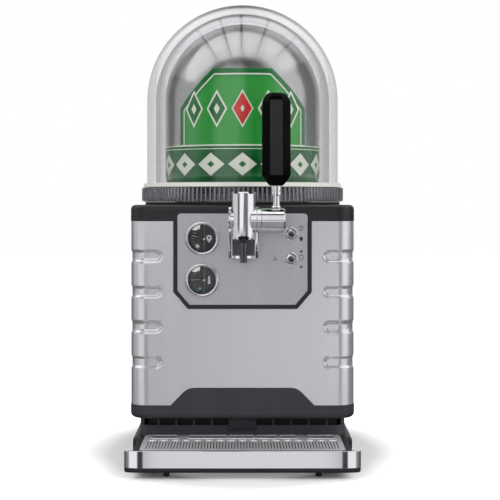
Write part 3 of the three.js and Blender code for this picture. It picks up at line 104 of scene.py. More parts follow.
# Panel and its bezel
PANEL_FRONT = -FRONT_Y
PANEL_CHAMFER_WIDTH = 0.017
PANEL_CHAMFER_HEIGHT = 0.020
PANEL_CORNER = 0.005
BEZEL_WIDTH = 0.0055


# Colour and nodes

def linear(code):
    """Turn an sRGB hex colour into Blender's linear red, green, blue and alpha."""
    shares = [int(code[start:start + 2], 16) / 255 for start in (0, 2, 4)]
    return tuple(s / 12.92 if s <= 0.04045 else ((s + 0.055) / 1.055) ** 2.4 for s in shares) + (1.0,)


def node(tree, kind, sockets=(), **settings):
    """Add one node with its settings and links; its sockets are filled in order or by name."""
    made = tree.nodes.new("ShaderNode" + kind)
    for setting, value in settings.items():
        setattr(made, setting, value)
    feed(tree, made, sockets)
    return made


def feed(tree, made, sockets):
    """Fill sockets; each takes a value, an output to link, or a node for its first output."""
    for socket, value in sockets.items() if isinstance(sockets, dict) else enumerate(sockets):
        if isinstance(value, bpy.types.Node):
            value = value.outputs[0]
        if isinstance(value, bpy.types.NodeSocket):
            tree.links.new(value, made.inputs[socket])
        else:
            made.inputs[socket].default_value = value


def finish(name, **sockets):
    """Start a material: its Principled shader with the constants set, ready for patterns."""
    material = bpy.data.materials.new(name)
    material.use_nodes = True
    tree = material.node_tree
    shader = tree.nodes["Principled BSDF"]
    feed(tree, shader, {socket.replace("_", " "): value for socket, value in sockets.items()})
    return material, tree, shader


def place_of(tree, scale):
    """Object coordinates, scaled along each axis."""
    where = node(tree, "TexCoord")
    return node(tree, "Mapping", {"Vector": where.outputs["Object"], "Scale": scale})


def blobs(tree, sizes, detail):
    """A noise whose blobs measure these sizes along the three axes."""
    where = place_of(tree, [1 / size for size in sizes])
    return node(tree, "TexNoise", {"Vector": where, "Scale": 1.0, "Detail": detail})


def roughen(tree, shader, noise, low, high, top=0.7):
    """Let a noise vary the roughness between two values."""
    rough = node(tree, "MapRange", {
        "Value": noise, "From Min": 0.3, "From Max": top, "To Min": low, "To Max": high,
    })
    feed(tree, shader, {"Roughness": rough})


def shade(tree, shader, colour, noise, spread, low=0.3, high=0.7):
    """Let a noise make the colour lighter and darker by a share."""
    value = node(tree, "MapRange", {
        "Value": noise, "From Min": low, "From Max": high, "To Min": 1 - spread, "To Max": 1 + spread,
    })
    feed(tree, shader, {"Base Color": node(tree, "HueSaturation", {"Color": linear(colour), "Value": value})})


def seen_by(tree, *rays):
    """One where any of these kinds of ray looks, zero elsewhere."""
    path = node(tree, "LightPath")
    total = path.outputs[rays[0]]
    for ray in rays[1:]:
        total = node(tree, "Math", [total, path.outputs[ray]], operation="MAXIMUM")
    return total


# Drawing

def smooth(degrees=SMOOTH_DEGREES):
    bpy.ops.object.shade_smooth_by_angle(angle=math.radians(degrees))


def pick(piece):
    """Make a piece the only one selected."""
    bpy.ops.object.select_all(action="DESELECT")
    piece.select_set(True)
    bpy.context.view_layer.objects.active = piece


def start(name):
    """Begin an empty piece at the origin and leave it open in edit mode."""
    bpy.ops.object.select_all(action="DESELECT")
    bpy.ops.mesh.primitive_plane_add(size=SEED)
    piece = bpy.context.object
    piece.name = piece.data.name = name
    bpy.ops.object.mode_set(mode="EDIT")
    bpy.ops.mesh.select_mode(type="VERT")
    bpy.ops.mesh.delete(type="VERT")
    return piece


def draw(points, closed=False):
    """Draw a chain of edges: one vertex, extruded from point to point."""
    bpy.ops.mesh.select_all(action="DESELECT")
    bpy.ops.mesh.primitive_plane_add(size=SEED)
    bpy.ops.mesh.merge(type="CENTER")
    bpy.ops.transform.translate(value=points[0])
    route = points + points[:1] if closed else points
    for here, there in zip(route, route[1:]):
        stretch(Vector(there) - Vector(here))


def stretch(step):
    """Extrude what is selected by one step."""
    bpy.ops.mesh.extrude_region_move(TRANSFORM_OT_translate={"value": step})


def weld():
    bpy.ops.mesh.select_all(action="SELECT")
    bpy.ops.mesh.remove_doubles(threshold=WELD)


def close(piece):
    """Weld the open piece, point its faces outwards and shade it."""
    weld()
    bpy.ops.mesh.normals_make_consistent(inside=False)
    bpy.ops.object.mode_set(mode="OBJECT")
    smooth()
    return piece


def apply(piece, kind, **settings):
    """Add a modifier to a finished piece and apply it."""
    pick(piece)
    modifier = piece.modifiers.new(kind.title(), kind)
    for setting, value in settings.items():
        setattr(modifier, setting, value)
    bpy.ops.object.modifier_apply(modifier=modifier.name)


def cut(piece, *tools):
    """Take the tools away from a piece."""
    for tool in tools:
        apply(piece, "BOOLEAN", operation="DIFFERENCE", solver="EXACT", object=tool)
        bpy.data.objects.remove(tool)
    smooth()


def soften(piece, width, segments=2, angle=40):
    """Round a piece's sharp edges."""
    apply(
        piece, "BEVEL", width=width, segments=segments, limit_method="ANGLE",
        angle_limit=math.radians(angle), harden_normals=False,
    )
    smooth(angle)


def at_side(low, high, margin):
    """A test: whether a point lies within a margin of a box's side walls."""
    return lambda point: (
        abs(point.x) > high[0] - margin or point.y < low[1] + margin or point.y > high[1] - margin
    )


def round_rim(piece, level, width, segments, outside):
    """Round the edges that lie at one level and pass a test."""
    pick(piece)
    mesh = piece.data
    for part in (mesh.vertices, mesh.edges, mesh.polygons):
        part.foreach_set("select", [False] * len(part))
    for edge in mesh.edges:
        ends = [mesh.vertices[index].co for index in edge.vertices]
        edge.select = all(abs(end.z - level) < 5 * WELD and outside(end) for end in ends)
    bpy.ops.object.mode_set(mode="EDIT")
    bpy.ops.mesh.select_mode(type="EDGE")
    bpy.ops.mesh.bevel(offset=width, segments=segments, affect="EDGES")
    bpy.ops.object.mode_set(mode="OBJECT")
    smooth()


def mm(*points):
    """Points given in millimetres."""
    return [(a / 1000, b / 1000) for a, b in points]


def arc(centre, radius, start_degrees, end_degrees, steps):
    """Points along a round stretch; radius is one number or one for each axis."""
    across, up = radius if isinstance(radius, tuple) else (radius, radius)
    points = []
    for step in range(steps + 1):
        turn = math.radians(start_degrees + (end_degrees - start_degrees) * step / steps)
        points.append((centre[0] + across * math.cos(turn), centre[1] + up * math.sin(turn)))
    return points


def rounded(low, high, radius, steps=8, inset=0.0):
    """A rectangle's outline with round corners, drawn in by an inset."""
    margin = inset + radius
    x0, y0, x1, y1 = low[0] + margin, low[1] + margin, high[0] - margin, high[1] - margin
    corners = ((x1, y1), (x0, y1), (x0, y0), (x1, y0))
    return [point for number, corner in enumerate(corners)
            for point in arc(corner, radius, 90 * number, 90 * number + 90, steps)]


def circle(centre, radius, steps=48):
    return arc(centre, radius, 0, 360 - 360 / steps, steps - 1)


LIFT = {
    "up": lambda a, b, h: (a, b, h),
    "front": lambda a, b, h: (a, -h, b),
    "right": lambda a, b, h: (h, a, b),
}


def plate(name, outlines, low, high, facing="up"):
    """A plate: outlines, the first with the rest as holes, carried from one level to another.

    Facing up, an outline is drawn in X and Y. Facing the front it is drawn in X and Z, and
    its level is its reach towards -Y.
    """
    lift = LIFT[facing]
    piece = start(name)
    for outline in outlines:
        draw([lift(a, b, low) for a, b in outline], closed=True)
    weld()
    if len(outlines) == 1:
        bpy.ops.mesh.edge_face_add()
    else:
        bpy.ops.mesh.fill(use_beauty=False)
    stretch(Vector(lift(0, 0, high)) - Vector(lift(0, 0, low)))
    return close(piece)


def turned(name, profile, centre, facing="up", steps=64, closed=False):
    """A turned piece: a profile of radius and height, spun round an axis through centre."""
    along = Vector(LIFT[facing](0, 0, 1))
    across = Vector((0, 1, 0)) if facing == "right" else Vector((1, 0, 0))
    piece = start(name)
    draw([Vector(centre) + across * radius + along * height for radius, height in profile], closed)
    weld()
    bpy.ops.mesh.spin(steps=steps, angle=math.tau, center=centre, axis=along)
    return close(piece)


def block(name, low, high, soft=0.0, segments=3):
    """A box between two corners, with its edges rounded."""
    bpy.ops.object.select_all(action="DESELECT")
    middle = [(a + b) / 2 for a, b in zip(low, high)]
    bpy.ops.mesh.primitive_cube_add(size=1, location=middle, scale=[b - a for a, b in zip(low, high)])
    bpy.ops.object.transform_apply(location=True, rotation=True, scale=True)
    piece = bpy.context.object
    piece.name = piece.data.name = name
    if soft:
        soften(piece, soft, segments)
    return piece


def add_box(low, high):
    """Add a box to the piece that is open in edit mode."""
    bpy.ops.mesh.primitive_cube_add(size=1)
    bpy.ops.transform.resize(value=[abs(b - a) for a, b in zip(low, high)])
    bpy.ops.transform.translate(value=[(a + b) / 2 for a, b in zip(low, high)])


def dress(piece, material, body, *nodes):
    """Give a piece its material and its body, and say which CAD nodes it stands for."""
    piece.data.materials.clear()
    piece.data.materials.append(material)
    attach(piece, body)
    if nodes:
        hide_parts(*nodes)
    return piece


def second_finish(piece, material, chosen):
    """Give the faces that pass a test a second material."""
    piece.data.materials.append(material)
    for face in piece.data.polygons:
        face.material_index = int(chosen(face))


# Materials

def brushed_steel(name, colour, roughness, streak, along=(0, 0, 1), metallic=1.0):
    """Stainless sheet brushed one way: a soft grey mirror drawn into long streaks.

    Real brush lines are about 0.1 mm apart, too fine to show, so they are drawn 1.5 mm wide.
    """
    material, tree, shader = finish(name, Metallic=metallic, Anisotropic=0.4)
    lines = blobs(tree, [0.25 if way else 0.0015 for way in along], 3.0)
    clouds = blobs(tree, [0.6 if way else 0.02 for way in along], 1.0)
    both = node(tree, "Math", [lines, clouds], operation="ADD")
    shade(tree, shader, colour, both, streak, 0.6, 1.4)
    roughen(tree, shader, lines, roughness - 0.02, roughness + 0.02)
    return material


def plated_brass(name, colour, haze, detail, smoothest, top=0.7):
    """Plate on polished brass: a near mirror, with a faint haze of wiping marks."""
    material, tree, shader = finish(name, Metallic=1.0, Base_Color=linear(colour))
    roughen(tree, shader, blobs(tree, haze, detail), smoothest, 0.16, top)
    return material


def moulded(name, colour, roughness, grain=0.001, depth=0.00001, shine=0.5):
    """Moulded, painted or printed skin: one colour, with a fine pebble grain in it."""
    material, tree, shader = finish(name, IOR=1.5, Specular_IOR_Level=shine)
    pebbles = blobs(tree, [grain] * 3, 2.0)
    shade(tree, shader, colour, blobs(tree, [0.05] * 3, 3.0), 0.08)
    roughen(tree, shader, pebbles, roughness - 0.04, roughness + 0.04)
    bump = node(tree, "Bump", {"Height": pebbles, "Distance": depth, "Strength": 0.5})
    feed(tree, shader, {"Normal": bump})
    return material


def clear_plastic(name, colour, roughness, ior, clearness=1.0):
    """Clear polymer or glass: see-through, with a slight wave in its wall.

    It lets lamplight pass, so that what lies behind it isn't left in its shadow.
    """
    material, tree, shader = finish(
        name, Base_Color=linear(colour), IOR=ior, Transmission_Weight=clearness,
    )
    roughen(tree, shader, blobs(tree, (0.06, 0.06, 0.12), 1.0), roughness, roughness + 0.03)
    clear = node(tree, "BsdfTransparent", {"Color": linear(colour)})
    both = node(tree, "MixShader", [seen_by(tree, "Is Shadow Ray"), shader, clear])
    feed(tree, tree.nodes["Material Output"], {"Surface": both})
    return material


# Steel and aluminium: brushed greys that blur what they mirror
STEEL = brushed_steel("stainless_steel_brushed_upright", "D6D7DB", 0.22, 0.03, metallic=0.8)
PANEL_STEEL = brushed_steel("stainless_steel_brushed_fine", "BDBEC4", 0.38, 0.04, metallic=0.8)
# Painted shade: a dark copy of the brushed steel lines the back of the tap bracket's recess
RECESS_PAINTED_SHADE_STEEL = brushed_steel("stainless_steel_brushed_painted_shade", "77787C", 0.45, 0.12)
RIM_STEEL = brushed_steel("stainless_steel_rolled_rim", "F0F0F2", 0.2, 0.03, (1, 0, 0), 0.6)
FASCIA_STEEL = brushed_steel("stainless_steel_polished_strip", "E6E6EA", 0.05, 0.02, (1, 0, 0))
GRILLE_STEEL = brushed_steel("stainless_steel_pressed", "D6D7DA", 0.42, 0.06, (1, 0, 0), 0.5)
FINS = brushed_steel("aluminium_rolled_fins", "BFC3C9", 0.4, 0.08)

# Plate: chrome is a bright mirror, black nickel a dark one that keeps one hard bright line; on the toggle
# bats the dark plate is a painted reflection
CHROME = plated_brass("chrome_plated_brass", "F0F0F3", (0.012, 0.012, 0.03), 4.0, 0.05, 0.75)
BLACK_NICKEL_AND_PAINTED_REFLECTION = plated_brass("brass_black_nickel_plated", "5E5F63", (0.008, 0.008, 0.02), 3.0, 0.08)

# Mouldings: grained ABS is a soft black, polished ABS and phenolic show sharp lights, rubber none
BLACK_ABS = moulded("abs_moulded_grained_black", "1F1F23", 0.42, 0.0012, 0.00006, 0.3)
COVER_ABS = moulded("abs_moulded_satin_black", "18181B", 0.3, 0.0012, 0.00003, 0.42)
# Painted light: the neck's grey is lighter than the other black mouldings to offset the shade inside the
# set-back neck
NECK_ABS_PAINTED_LIGHT = moulded("abs_moulded_grained_painted_light", "3A3A40", 0.5, 0.0012, 0.00006, 0.3)
GREY_ABS = moulded("abs_moulded_grained_charcoal", "2F2E33", 0.45, 0.0012, 0.00006, 0.3)
GLOSS_BLACK = moulded("abs_moulded_polished_black", "151518", 0.16, 0.004, 0.00001)
GRIP_BLACK = moulded("phenolic_moulded_gloss_black", "040405", 0.15, 0.0006, 0.000002, 0.04)
# Painted light: the grip's broad front and back facets get a lighter, less glossy copy of its black, so they
# read brighter than its sides
GRIP_SATIN_PAINTED_LIGHT = moulded("phenolic_moulded_satin_painted_light", "18191B", 0.4, 0.0006, 0.000005, 0.3)
RUBBER = moulded("rubber_moulded_black", "18181A", 0.75, 0.0015, 0.0001)
WHITE = moulded("polypropylene_moulded_white", "E4E4E1", 0.35, 0.002, 0.00004)
LENS = moulded("polycarbonate_lens_grey", "6E7174", 0.2, 0.003, 0.00002)

# Coats and inks: powder is dull and fine-pored, enamel and board lacquer shine, ink lies flat; the dials'
# pale patch is painted glare
POWDER = moulded("steel_powder_coated_charcoal", "3C3C3F", 0.55, 0.0008, 0.00015)
ENAMEL = moulded("steel_enamelled_black", "1B1B1D", 0.25, 0.003, 0.00002)
BOARD = moulded("glass_epoxy_board_lacquered_green", "1C5B34", 0.3, 0.002, 0.00002)
WHITE_PAINT = moulded("enamel_paint_white", "E6E6E2", 0.4)
DIAL_BLACK = moulded("dial_card_printed_black", "0E0F10", 0.55)
DIAL_GREY = moulded("dial_card_printed_soot", "191A1C", 0.6)
DIAL_MARK = moulded("dial_ink_grey", "77797C", 0.5)
DIAL_SIGN = moulded("dial_ink_silver", "A3A5A8", 0.5)
# Painted glare: a pale patch on each dial's upper left that stands for light mirrored in the glass
DIAL_GLARE_PAINT = moulded("dial_painted_glare", "E2E4E6", 0.4)
DIAL_BLUE = moulded("dial_ink_teal", "3F8C9C", 0.5)
PANEL_INK = moulded("panel_ink_black", "1B1B20", 0.5)

# Clear walls: blown domes bend the view little, the smoked ring and its frosted lip much more; the lip's
# paler tint is painted light from above
HOSE = clear_plastic("pvc_hose_clear", "E8EAEE", 0.08, 1.53)
DOME = clear_plastic("polycarbonate_blown_clear", "F5F5F6", 0.0, 1.25)
RING = clear_plastic("polycarbonate_moulded_smoked", "C2C2C6", 0.1, 1.45)
# Painted shade: the ribs' outer faces get a darker, cloudier copy of the smoked plastic, so each rib shows a
# dark line
RIB_CREST_PAINTED_SHADE = clear_plastic("polycarbonate_rib_painted_shade", "808084", 0.2, 1.45, 0.35)
# Painted light: the ring's upward shoulder gets a paler copy of its plastic, on a rougher frosted surface
RING_FROST_PAINTED_LIGHT = clear_plastic("polycarbonate_moulded_frosted_painted_light", "F2F1EC", 0.3, 1.3, 0.35)
GLASS = clear_plastic("mineral_glass_flat", "FAFAFA", 0.0, 1.22)


# Camera, floor and light

# The camera stands level with the dome's foot, square on to the front
CAMERA_PLACE = (0, -2.238, 0.367)
CAMERA_SENSOR = 36
CAMERA_LENS = 108.8
CAMERA_SHIFT = (0.015, -0.096)

# What polished metal mirrors, in degrees round the room: at eye level, low on the walls
# and on the floor. The second bands take over from the first, and the third from the
# second, between two heights. The last list is by height, from floor to ceiling.
ROOM_BANDS = [
    (-180, 0.20), (-162, 0.68), (-150, 0.68), (-138, 0.14), (-122, 0.14), (-115, 0.60), (-60, 0.68),
    (-55, 0.14), (-39, 0.14), (-34, 1.0), (0, 1.0), (6, 0.14), (38, 0.22), (46, 1.0), (101, 1.0),
    (108, 0.14), (135, 0.14), (150, 0.68), (162, 0.68), (180, 0.20),
]
WALL_FOOT_BANDS = [
    (-180, 0.08), (-120, 0.08), (-108, 0.40), (-76, 0.50), (-62, 1.0), (-36, 1.0), (-30, 0.02),
    (-8, 0.02), (-4.5, 0.55), (0, 0.66), (2, 1.0), (14, 1.0), (17, 0.03), (34, 0.03), (44, 1.0),
    (76, 1.0), (88, 0.10), (180, 0.08),
]
FLOOR_BANDS = [
    (-180, 0.05), (-80, 0.10), (-45, 0.30), (-39, 0.98), (-17, 0.98), (-15, 0.06), (-6, 0.06),
    (-4.8, 0.80), (4.8, 0.80), (6, 0.06), (15, 0.06), (17, 0.98), (39, 0.98), (45, 0.30),
    (80, 0.10), (180, 0.05),
]
BAND_HEIGHTS = [(-0.6, -1.1), (-8.0, -8.7)]
HEIGHT_BANDS = [(-90, 0.35), (-13, 0.40), (-10.6, 1.0), (44, 1.0), (52, 0.14), (90, 0.14)]

# The room's even light, and the dim patch where the camera itself is mirrored
ROOM_LIGHT = 0.55
CAMERA_PATCH = {"From Min": 0.9925, "From Max": 0.9986, "To Min": 1.0, "To Max": 0.4}

# Softboxes on a flat ceiling one unit up: their edges across, and their depth
SOFTBOX_EDGES = [(-2.6, -0.62), (-0.595, -0.28), (-0.25, -0.03), (0.0, 0.30), (0.33, 0.78), (0.81, 1.5)]
SOFTBOX_DEPTH = (-0.5, 0.62)
SOFTBOX_LIGHT = 1.45
CEILING_LOWEST = 0.05

# How brightly the floor shows by itself, from under the base outwards. The glow dips in a ring round the base
# and rises far off: painted shadow, darker near the object.
FLOOR_GLOW = [(0, 0.22), (0.46, 0.22), (0.52, 0.03), (0.58, 0.03), (0.66, 0.22), (0.84, 0.75)]
FLOOR_GLOW_SCALE = (3.0, 2.0, 2.0)
FLOOR_RADIUS = 9
FLOOR_DROP = 0.0002

# Each lamp's place, the height it points at, its size and its watts
LAMPS = {
    "lamp_left": ((-1.4, -1.6, 1.5), 0.3, (1.0, 1.4), 16),
    "lamp_right": ((1.6, -1.4, 1.2), 0.3, (1.0, 1.4), 22),
    "lamp_above": ((0, 0.9, 2.1), 0.3, (1.6, 1.6), 18),
    "lamp_low": ((0, -1.7, 0.35), 0.15, (1.4, 0.4), 7),
}


def add_to_scene(name, data, place):
    made = bpy.data.objects.new(name, data)
    made.location = place
    bpy.context.scene.collection.objects.link(made)
    return made


def make_camera():
    data = bpy.data.cameras.new("camera")
    data.sensor_width = CAMERA_SENSOR
    data.lens = CAMERA_LENS
    data.shift_x, data.shift_y = CAMERA_SHIFT
    camera = add_to_scene("camera", data, CAMERA_PLACE)
    camera.rotation_euler = (math.radians(90), 0, 0)
    bpy.context.scene.camera = camera


def make_lamp(name, place, aim, size, watts):
    data = bpy.data.lights.new(name, "AREA")
    data.shape = "RECTANGLE"
    data.size, data.size_y = size
    data.energy = watts
    lamp = add_to_scene(name, data, place)
    lamp.rotation_euler = (Vector((0, 0, aim)) - Vector(place)).to_track_quat("-Z", "Y").to_euler()
    lamp.visible_glossy = lamp.visible_transmission = False


def grey(share):
    return (share, share, share, 1)


def ramp(tree, value, stops):
    """A colour ramp: value runs from 0 to 1, a stop is a place and a colour or a grey's share."""
    made = node(tree, "ValToRGB", [value])
    elements = made.color_ramp.elements
    while len(elements) < len(stops):
        elements.new(0.5)
    for element, (place, colour) in zip(elements, stops):
        element.position = place
        element.color = colour if isinstance(colour, tuple) else grey(colour)
    return made


def band_ramp(tree, angle, widest, stops):
    """A grey ramp over an angle that runs from minus to plus the widest; stops are in degrees."""
    reach = math.radians(widest)
    share = node(tree, "MapRange", {"Value": angle, "From Min": -reach, "From Max": reach})
    return ramp(tree, share, [((way + widest) / (2 * widest), level) for way, level in stops])


def between(tree, value, low, high):
    """One where a value lies between two bounds, with a soft edge, and zero elsewhere."""
    middle, half = (low + high) / 2, (high - low) / 2
    off = node(tree, "Math", [value, middle], operation="SUBTRACT")
    away = node(tree, "Math", [off], operation="ABSOLUTE")
    return node(tree, "MapRange", {
        "Value": away, "From Min": half * 0.97, "From Max": half, "To Min": 1.0, "To Max": 0.0,
    })


def over(tree, below, above, mask):
    """One colour laid over another where the mask is one."""
    return node(tree, "Mix", {0: mask, 6: below, 7: above}, data_type="RGBA").outputs[2]


def softboxes(tree, x, y, z):
    """The light of the long softboxes overhead, with dark joints between them."""
    above = node(tree, "Math", [z, CEILING_LOWEST], operation="MAXIMUM")
    across = node(tree, "Math", [x, above], operation="DIVIDE")
    along = node(tree, "Math", [y, above], operation="DIVIDE")
    lit = between(tree, across, *SOFTBOX_EDGES[0])
    for edges in SOFTBOX_EDGES[1:]:
        lit = node(tree, "Math", [lit, between(tree, across, *edges)], operation="MAXIMUM")
    both = node(tree, "Math", [lit, between(tree, along, *SOFTBOX_DEPTH)], operation="MULTIPLY")
    return node(tree, "Math", [both, SOFTBOX_LIGHT], operation="MULTIPLY")


def make_world():
    """A pale room: even light, pure white behind the object, and dark and bright bands for gloss."""
    world = bpy.data.worlds.new("studio")
    world.use_nodes = True
    bpy.context.scene.world = world
    tree = world.node_tree
    way = node(tree, "TexCoord").outputs["Generated"]
    x, y, z = node(tree, "SeparateXYZ", [way]).outputs
    back = node(tree, "Math", [y, -1.0], operation="MULTIPLY")
    turn = node(tree, "Math", [x, back], operation="ARCTAN2")
    lift = node(tree, "Math", [z], operation="ARCSINE")
    bands = band_ramp(tree, turn, 180, ROOM_BANDS)
    for lower, (upper_end, lower_end) in zip((WALL_FOOT_BANDS, FLOOR_BANDS), BAND_HEIGHTS):
        share = node(tree, "MapRange", {
            "Value": lift, "From Min": math.radians(upper_end), "From Max": math.radians(lower_end),
        })
        bands = over(tree, bands, band_ramp(tree, turn, 180, lower), share)
    walls = node(tree, "Math", [bands, band_ramp(tree, lift, 90, HEIGHT_BANDS)], operation="MULTIPLY")
    patch = node(tree, "MapRange", {"Value": back, **CAMERA_PATCH})
    front = node(tree, "Math", [walls, patch], operation="MULTIPLY")
    room = node(tree, "Math", [front, softboxes(tree, x, y, z)], operation="MAXIMUM")
    clear = seen_by(tree, "Is Camera Ray", "Is Transmission Ray")
    even = node(tree, "MapRange", {"Value": clear, "To Min": ROOM_LIGHT, "To Max": 1.0})
    light = node(tree, "Mix", {0: seen_by(tree, "Glossy Depth"), 2: even, 3: room}, data_type="FLOAT")
    feed(tree, tree.nodes["Background"], {"Color": grey(1), "Strength": light})


def make_floor():
    """A pale studio floor with the object's soft shadow, left out of what gloss mirrors. Its own glow is
    painted shadow: low round the base, high far off.
    """
    bpy.ops.object.select_all(action="DESELECT")
    bpy.ops.mesh.primitive_circle_add(
        vertices=96, radius=FLOOR_RADIUS, fill_type="NGON", location=(0, 0, -FLOOR_DROP),
    )
    bpy.ops.object.transform_apply(location=True)
    floor = bpy.context.object
    floor.name = "studio_floor"
    material, tree, shader = finish(
        "studio_paint_pale", Base_Color=linear("F2F2F2"), Roughness=0.9, Emission_Color=grey(1),
    )
    away = node(tree, "VectorMath", [place_of(tree, FLOOR_GLOW_SCALE)], operation="LENGTH")
    glow = ramp(tree, away.outputs["Value"], FLOOR_GLOW)
    seen = seen_by(tree, "Is Camera Ray", "Is Transmission Ray")
    shown = node(tree, "Math", [glow, seen], operation="MULTIPLY")
    feed(tree, shader, {"Emission Strength": shown})
    floor.visible_glossy = False
    floor.data.materials.append(material)


make_camera()
make_world()
make_floor()
for lamp, facts in LAMPS.items():
    make_lamp(lamp, *facts)


# Keg and dome

DOME_STEPS = 128
DOME_WALL = 0.003
KEG_RADIUS = KEG_HIGH[0]
KEG_TOP_CENTRE = KEG_HIGH[2] - KEG_RADIUS
KEG_SHOULDER_TOP = COVER_HIGH[2] + 0.045
KEG_SHOULDER_LOW = COVER_HIGH[2] - 0.011
KEG_NECK_RADIUS = 0.020

# The label's places: half width of the printed panel, its levels, and its motifs
LABEL_HALF = 0.102
LABEL_LOW = COVER_HIGH[2] + 0.0850
LABEL_HIGH = LABEL_LOW + 0.110
LABEL_CUT = LABEL_HALF + LABEL_HIGH - 0.056
LABEL_MARGINS = (-0.040, 0.010)
MOTIF_LEVEL = LABEL_LOW + 0.052
MOTIF_PITCH = 0.037
MOTIF_HALVES = (0.0155, 0.0270)
MOTIF_ROW_HALF = 2.5 * MOTIF_PITCH
BAND_LEVEL = LABEL_LOW - 0.027
BAND_PITCH = 0.046
BAND_HALVES = (0.0205, 0.0165)
SEAM_HALF = 0.0011
SEAM_BELOW = (0.0055, 0.0045)

LEAF = linear("2E9E3B")
MID_GREEN = linear("23883A")
DEEP_GREEN = linear("0F6E2F")
DARK_GREEN = linear("0B5426")
CREAM = linear("E6EBD8")
RED = linear("CF2A20")
SILVER = linear("D2D2D0")

# Each print from its middle outwards: the panel, its plain and red lozenges, and the band's
PANEL_PRINT = [
    (0.0, LEAF), (0.48, LEAF), (0.60, MID_GREEN), (0.615, CREAM), (0.64, CREAM),
    (0.655, DEEP_GREEN), (0.79, DEEP_GREEN), (0.81, SILVER), (1.0, SILVER),
]
PLAIN_PRINT = [
    (0.0, CREAM), (0.14, CREAM), (0.15, DEEP_GREEN), (0.40, DEEP_GREEN), (0.41, CREAM), (0.5, CREAM),
]
RED_PRINT = [(0.0, CREAM), (0.09, CREAM), (0.10, RED), (0.43, RED), (0.44, CREAM), (0.5, CREAM)]
BAND_PRINT = [
    (0.0, DEEP_GREEN), (0.13, DEEP_GREEN), (0.15, CREAM), (0.49, CREAM), (0.51, DARK_GREEN),
    (1.0, DEEP_GREEN),
]


def lozenge(tree, across, up, level, pitch, halves):
    """How far out of a repeated lozenge a place lies: 1 at its edge, 0 in its middle."""
    shifted = node(tree, "Math", [across, -pitch / 2, pitch / 2], operation="WRAP")
    side = node(tree, "Math", [shifted], operation="ABSOLUTE")
    off = node(tree, "Math", [up, level], operation="SUBTRACT")
    rise = node(tree, "Math", [off], operation="ABSOLUTE")
    wide = node(tree, "Math", [side, halves[0]], operation="DIVIDE")
    tall = node(tree, "Math", [rise, halves[1]], operation="DIVIDE")
    return node(tree, "Math", [wide, tall], operation="ADD")


def printed_film():
    """Metallised polymer film, gravure-printed: a silver mirror with lacquer-bright greens.

    The print is a plain cut-cornered panel with a row of lozenges over a dark band of broad
    ones, the same front and back. The ink lets some of the silver shine through.
    """
    material, tree, shader = finish("metallised_film_printed", Coat_Weight=0.12, Coat_Roughness=0.2)
    x, y, up = node(tree, "SeparateXYZ", [node(tree, "TexCoord").outputs["Object"]]).outputs
    deep = node(tree, "Math", [y, CHAMBER_Y], operation="SUBTRACT")
    depth = node(tree, "Math", [deep], operation="ABSOLUTE")
    angle = node(tree, "Math", [x, depth], operation="ARCTAN2")
    across = node(tree, "Math", [angle, KEG_RADIUS], operation="MULTIPLY")
    side = node(tree, "Math", [across], operation="ABSOLUTE")
    past_side = node(tree, "Math", [side, LABEL_HALF], operation="SUBTRACT")
    past_top = node(tree, "Math", [up, LABEL_HIGH], operation="SUBTRACT")
    corner = node(tree, "Math", [side, up], operation="ADD")
    past_corner = node(tree, "Math", [corner, LABEL_CUT], operation="SUBTRACT")
    corner_share = node(tree, "Math", [past_corner, 0.707], operation="MULTIPLY")
    past = node(tree, "Math", [past_side, past_top], operation="MAXIMUM")
    past = node(tree, "Math", [past, corner_share], operation="MAXIMUM")
    low, high = LABEL_MARGINS
    share = node(tree, "MapRange", {"Value": past, "From Min": low, "From Max": high})
    colour = ramp(tree, share, PANEL_PRINT)

    motif = lozenge(tree, across, up, MOTIF_LEVEL, MOTIF_PITCH, MOTIF_HALVES)
    share = node(tree, "Math", [motif, 0.5], operation="MULTIPLY")
    middle = between(tree, across, -MOTIF_PITCH / 2, MOTIF_PITCH / 2)
    motifs = over(tree, ramp(tree, share, PLAIN_PRINT), ramp(tree, share, RED_PRINT), middle)
    in_motif = node(tree, "Math", [motif, 1.0], operation="LESS_THAN")
    row = between(tree, across, -MOTIF_ROW_HALF, MOTIF_ROW_HALF)
    shown = node(tree, "Math", [in_motif, row], operation="MULTIPLY")
    colour = over(tree, colour, motifs, shown)

    band = lozenge(tree, across, up, BAND_LEVEL, BAND_PITCH, BAND_HALVES)
    share = node(tree, "Math", [band, 0.5], operation="MULTIPLY")
    below = node(tree, "Math", [up, LABEL_LOW], operation="LESS_THAN")
    colour = over(tree, colour, ramp(tree, share, BAND_PRINT), below)
    seam = between(tree, up, LABEL_LOW - SEAM_HALF, LABEL_LOW + SEAM_HALF)
    line = between(tree, up, LABEL_LOW - SEAM_BELOW[0], LABEL_LOW - SEAM_BELOW[1])
    lines = node(tree, "Math", [seam, line], operation="MAXIMUM")
    colour = over(tree, colour, CREAM, lines)

    in_panel = node(tree, "Math", [past, 0.0], operation="LESS_THAN")
    inked = node(tree, "Math", [in_panel, below], operation="MAXIMUM")
    metal = node(tree, "MapRange", {"Value": inked, "To Min": 1.0, "To Max": 0.12})
    creases = blobs(tree, (0.03, 0.03, 0.09), 2.0)
    roughen(tree, shader, creases, 0.16, 0.26)
    bump = node(tree, "Bump", {"Height": creases, "Distance": 0.0006, "Strength": 0.35})
    feed(tree, shader, {"Base Color": colour, "Metallic": metal, "Normal": bump})
    return material


KEG_FILM = printed_film()


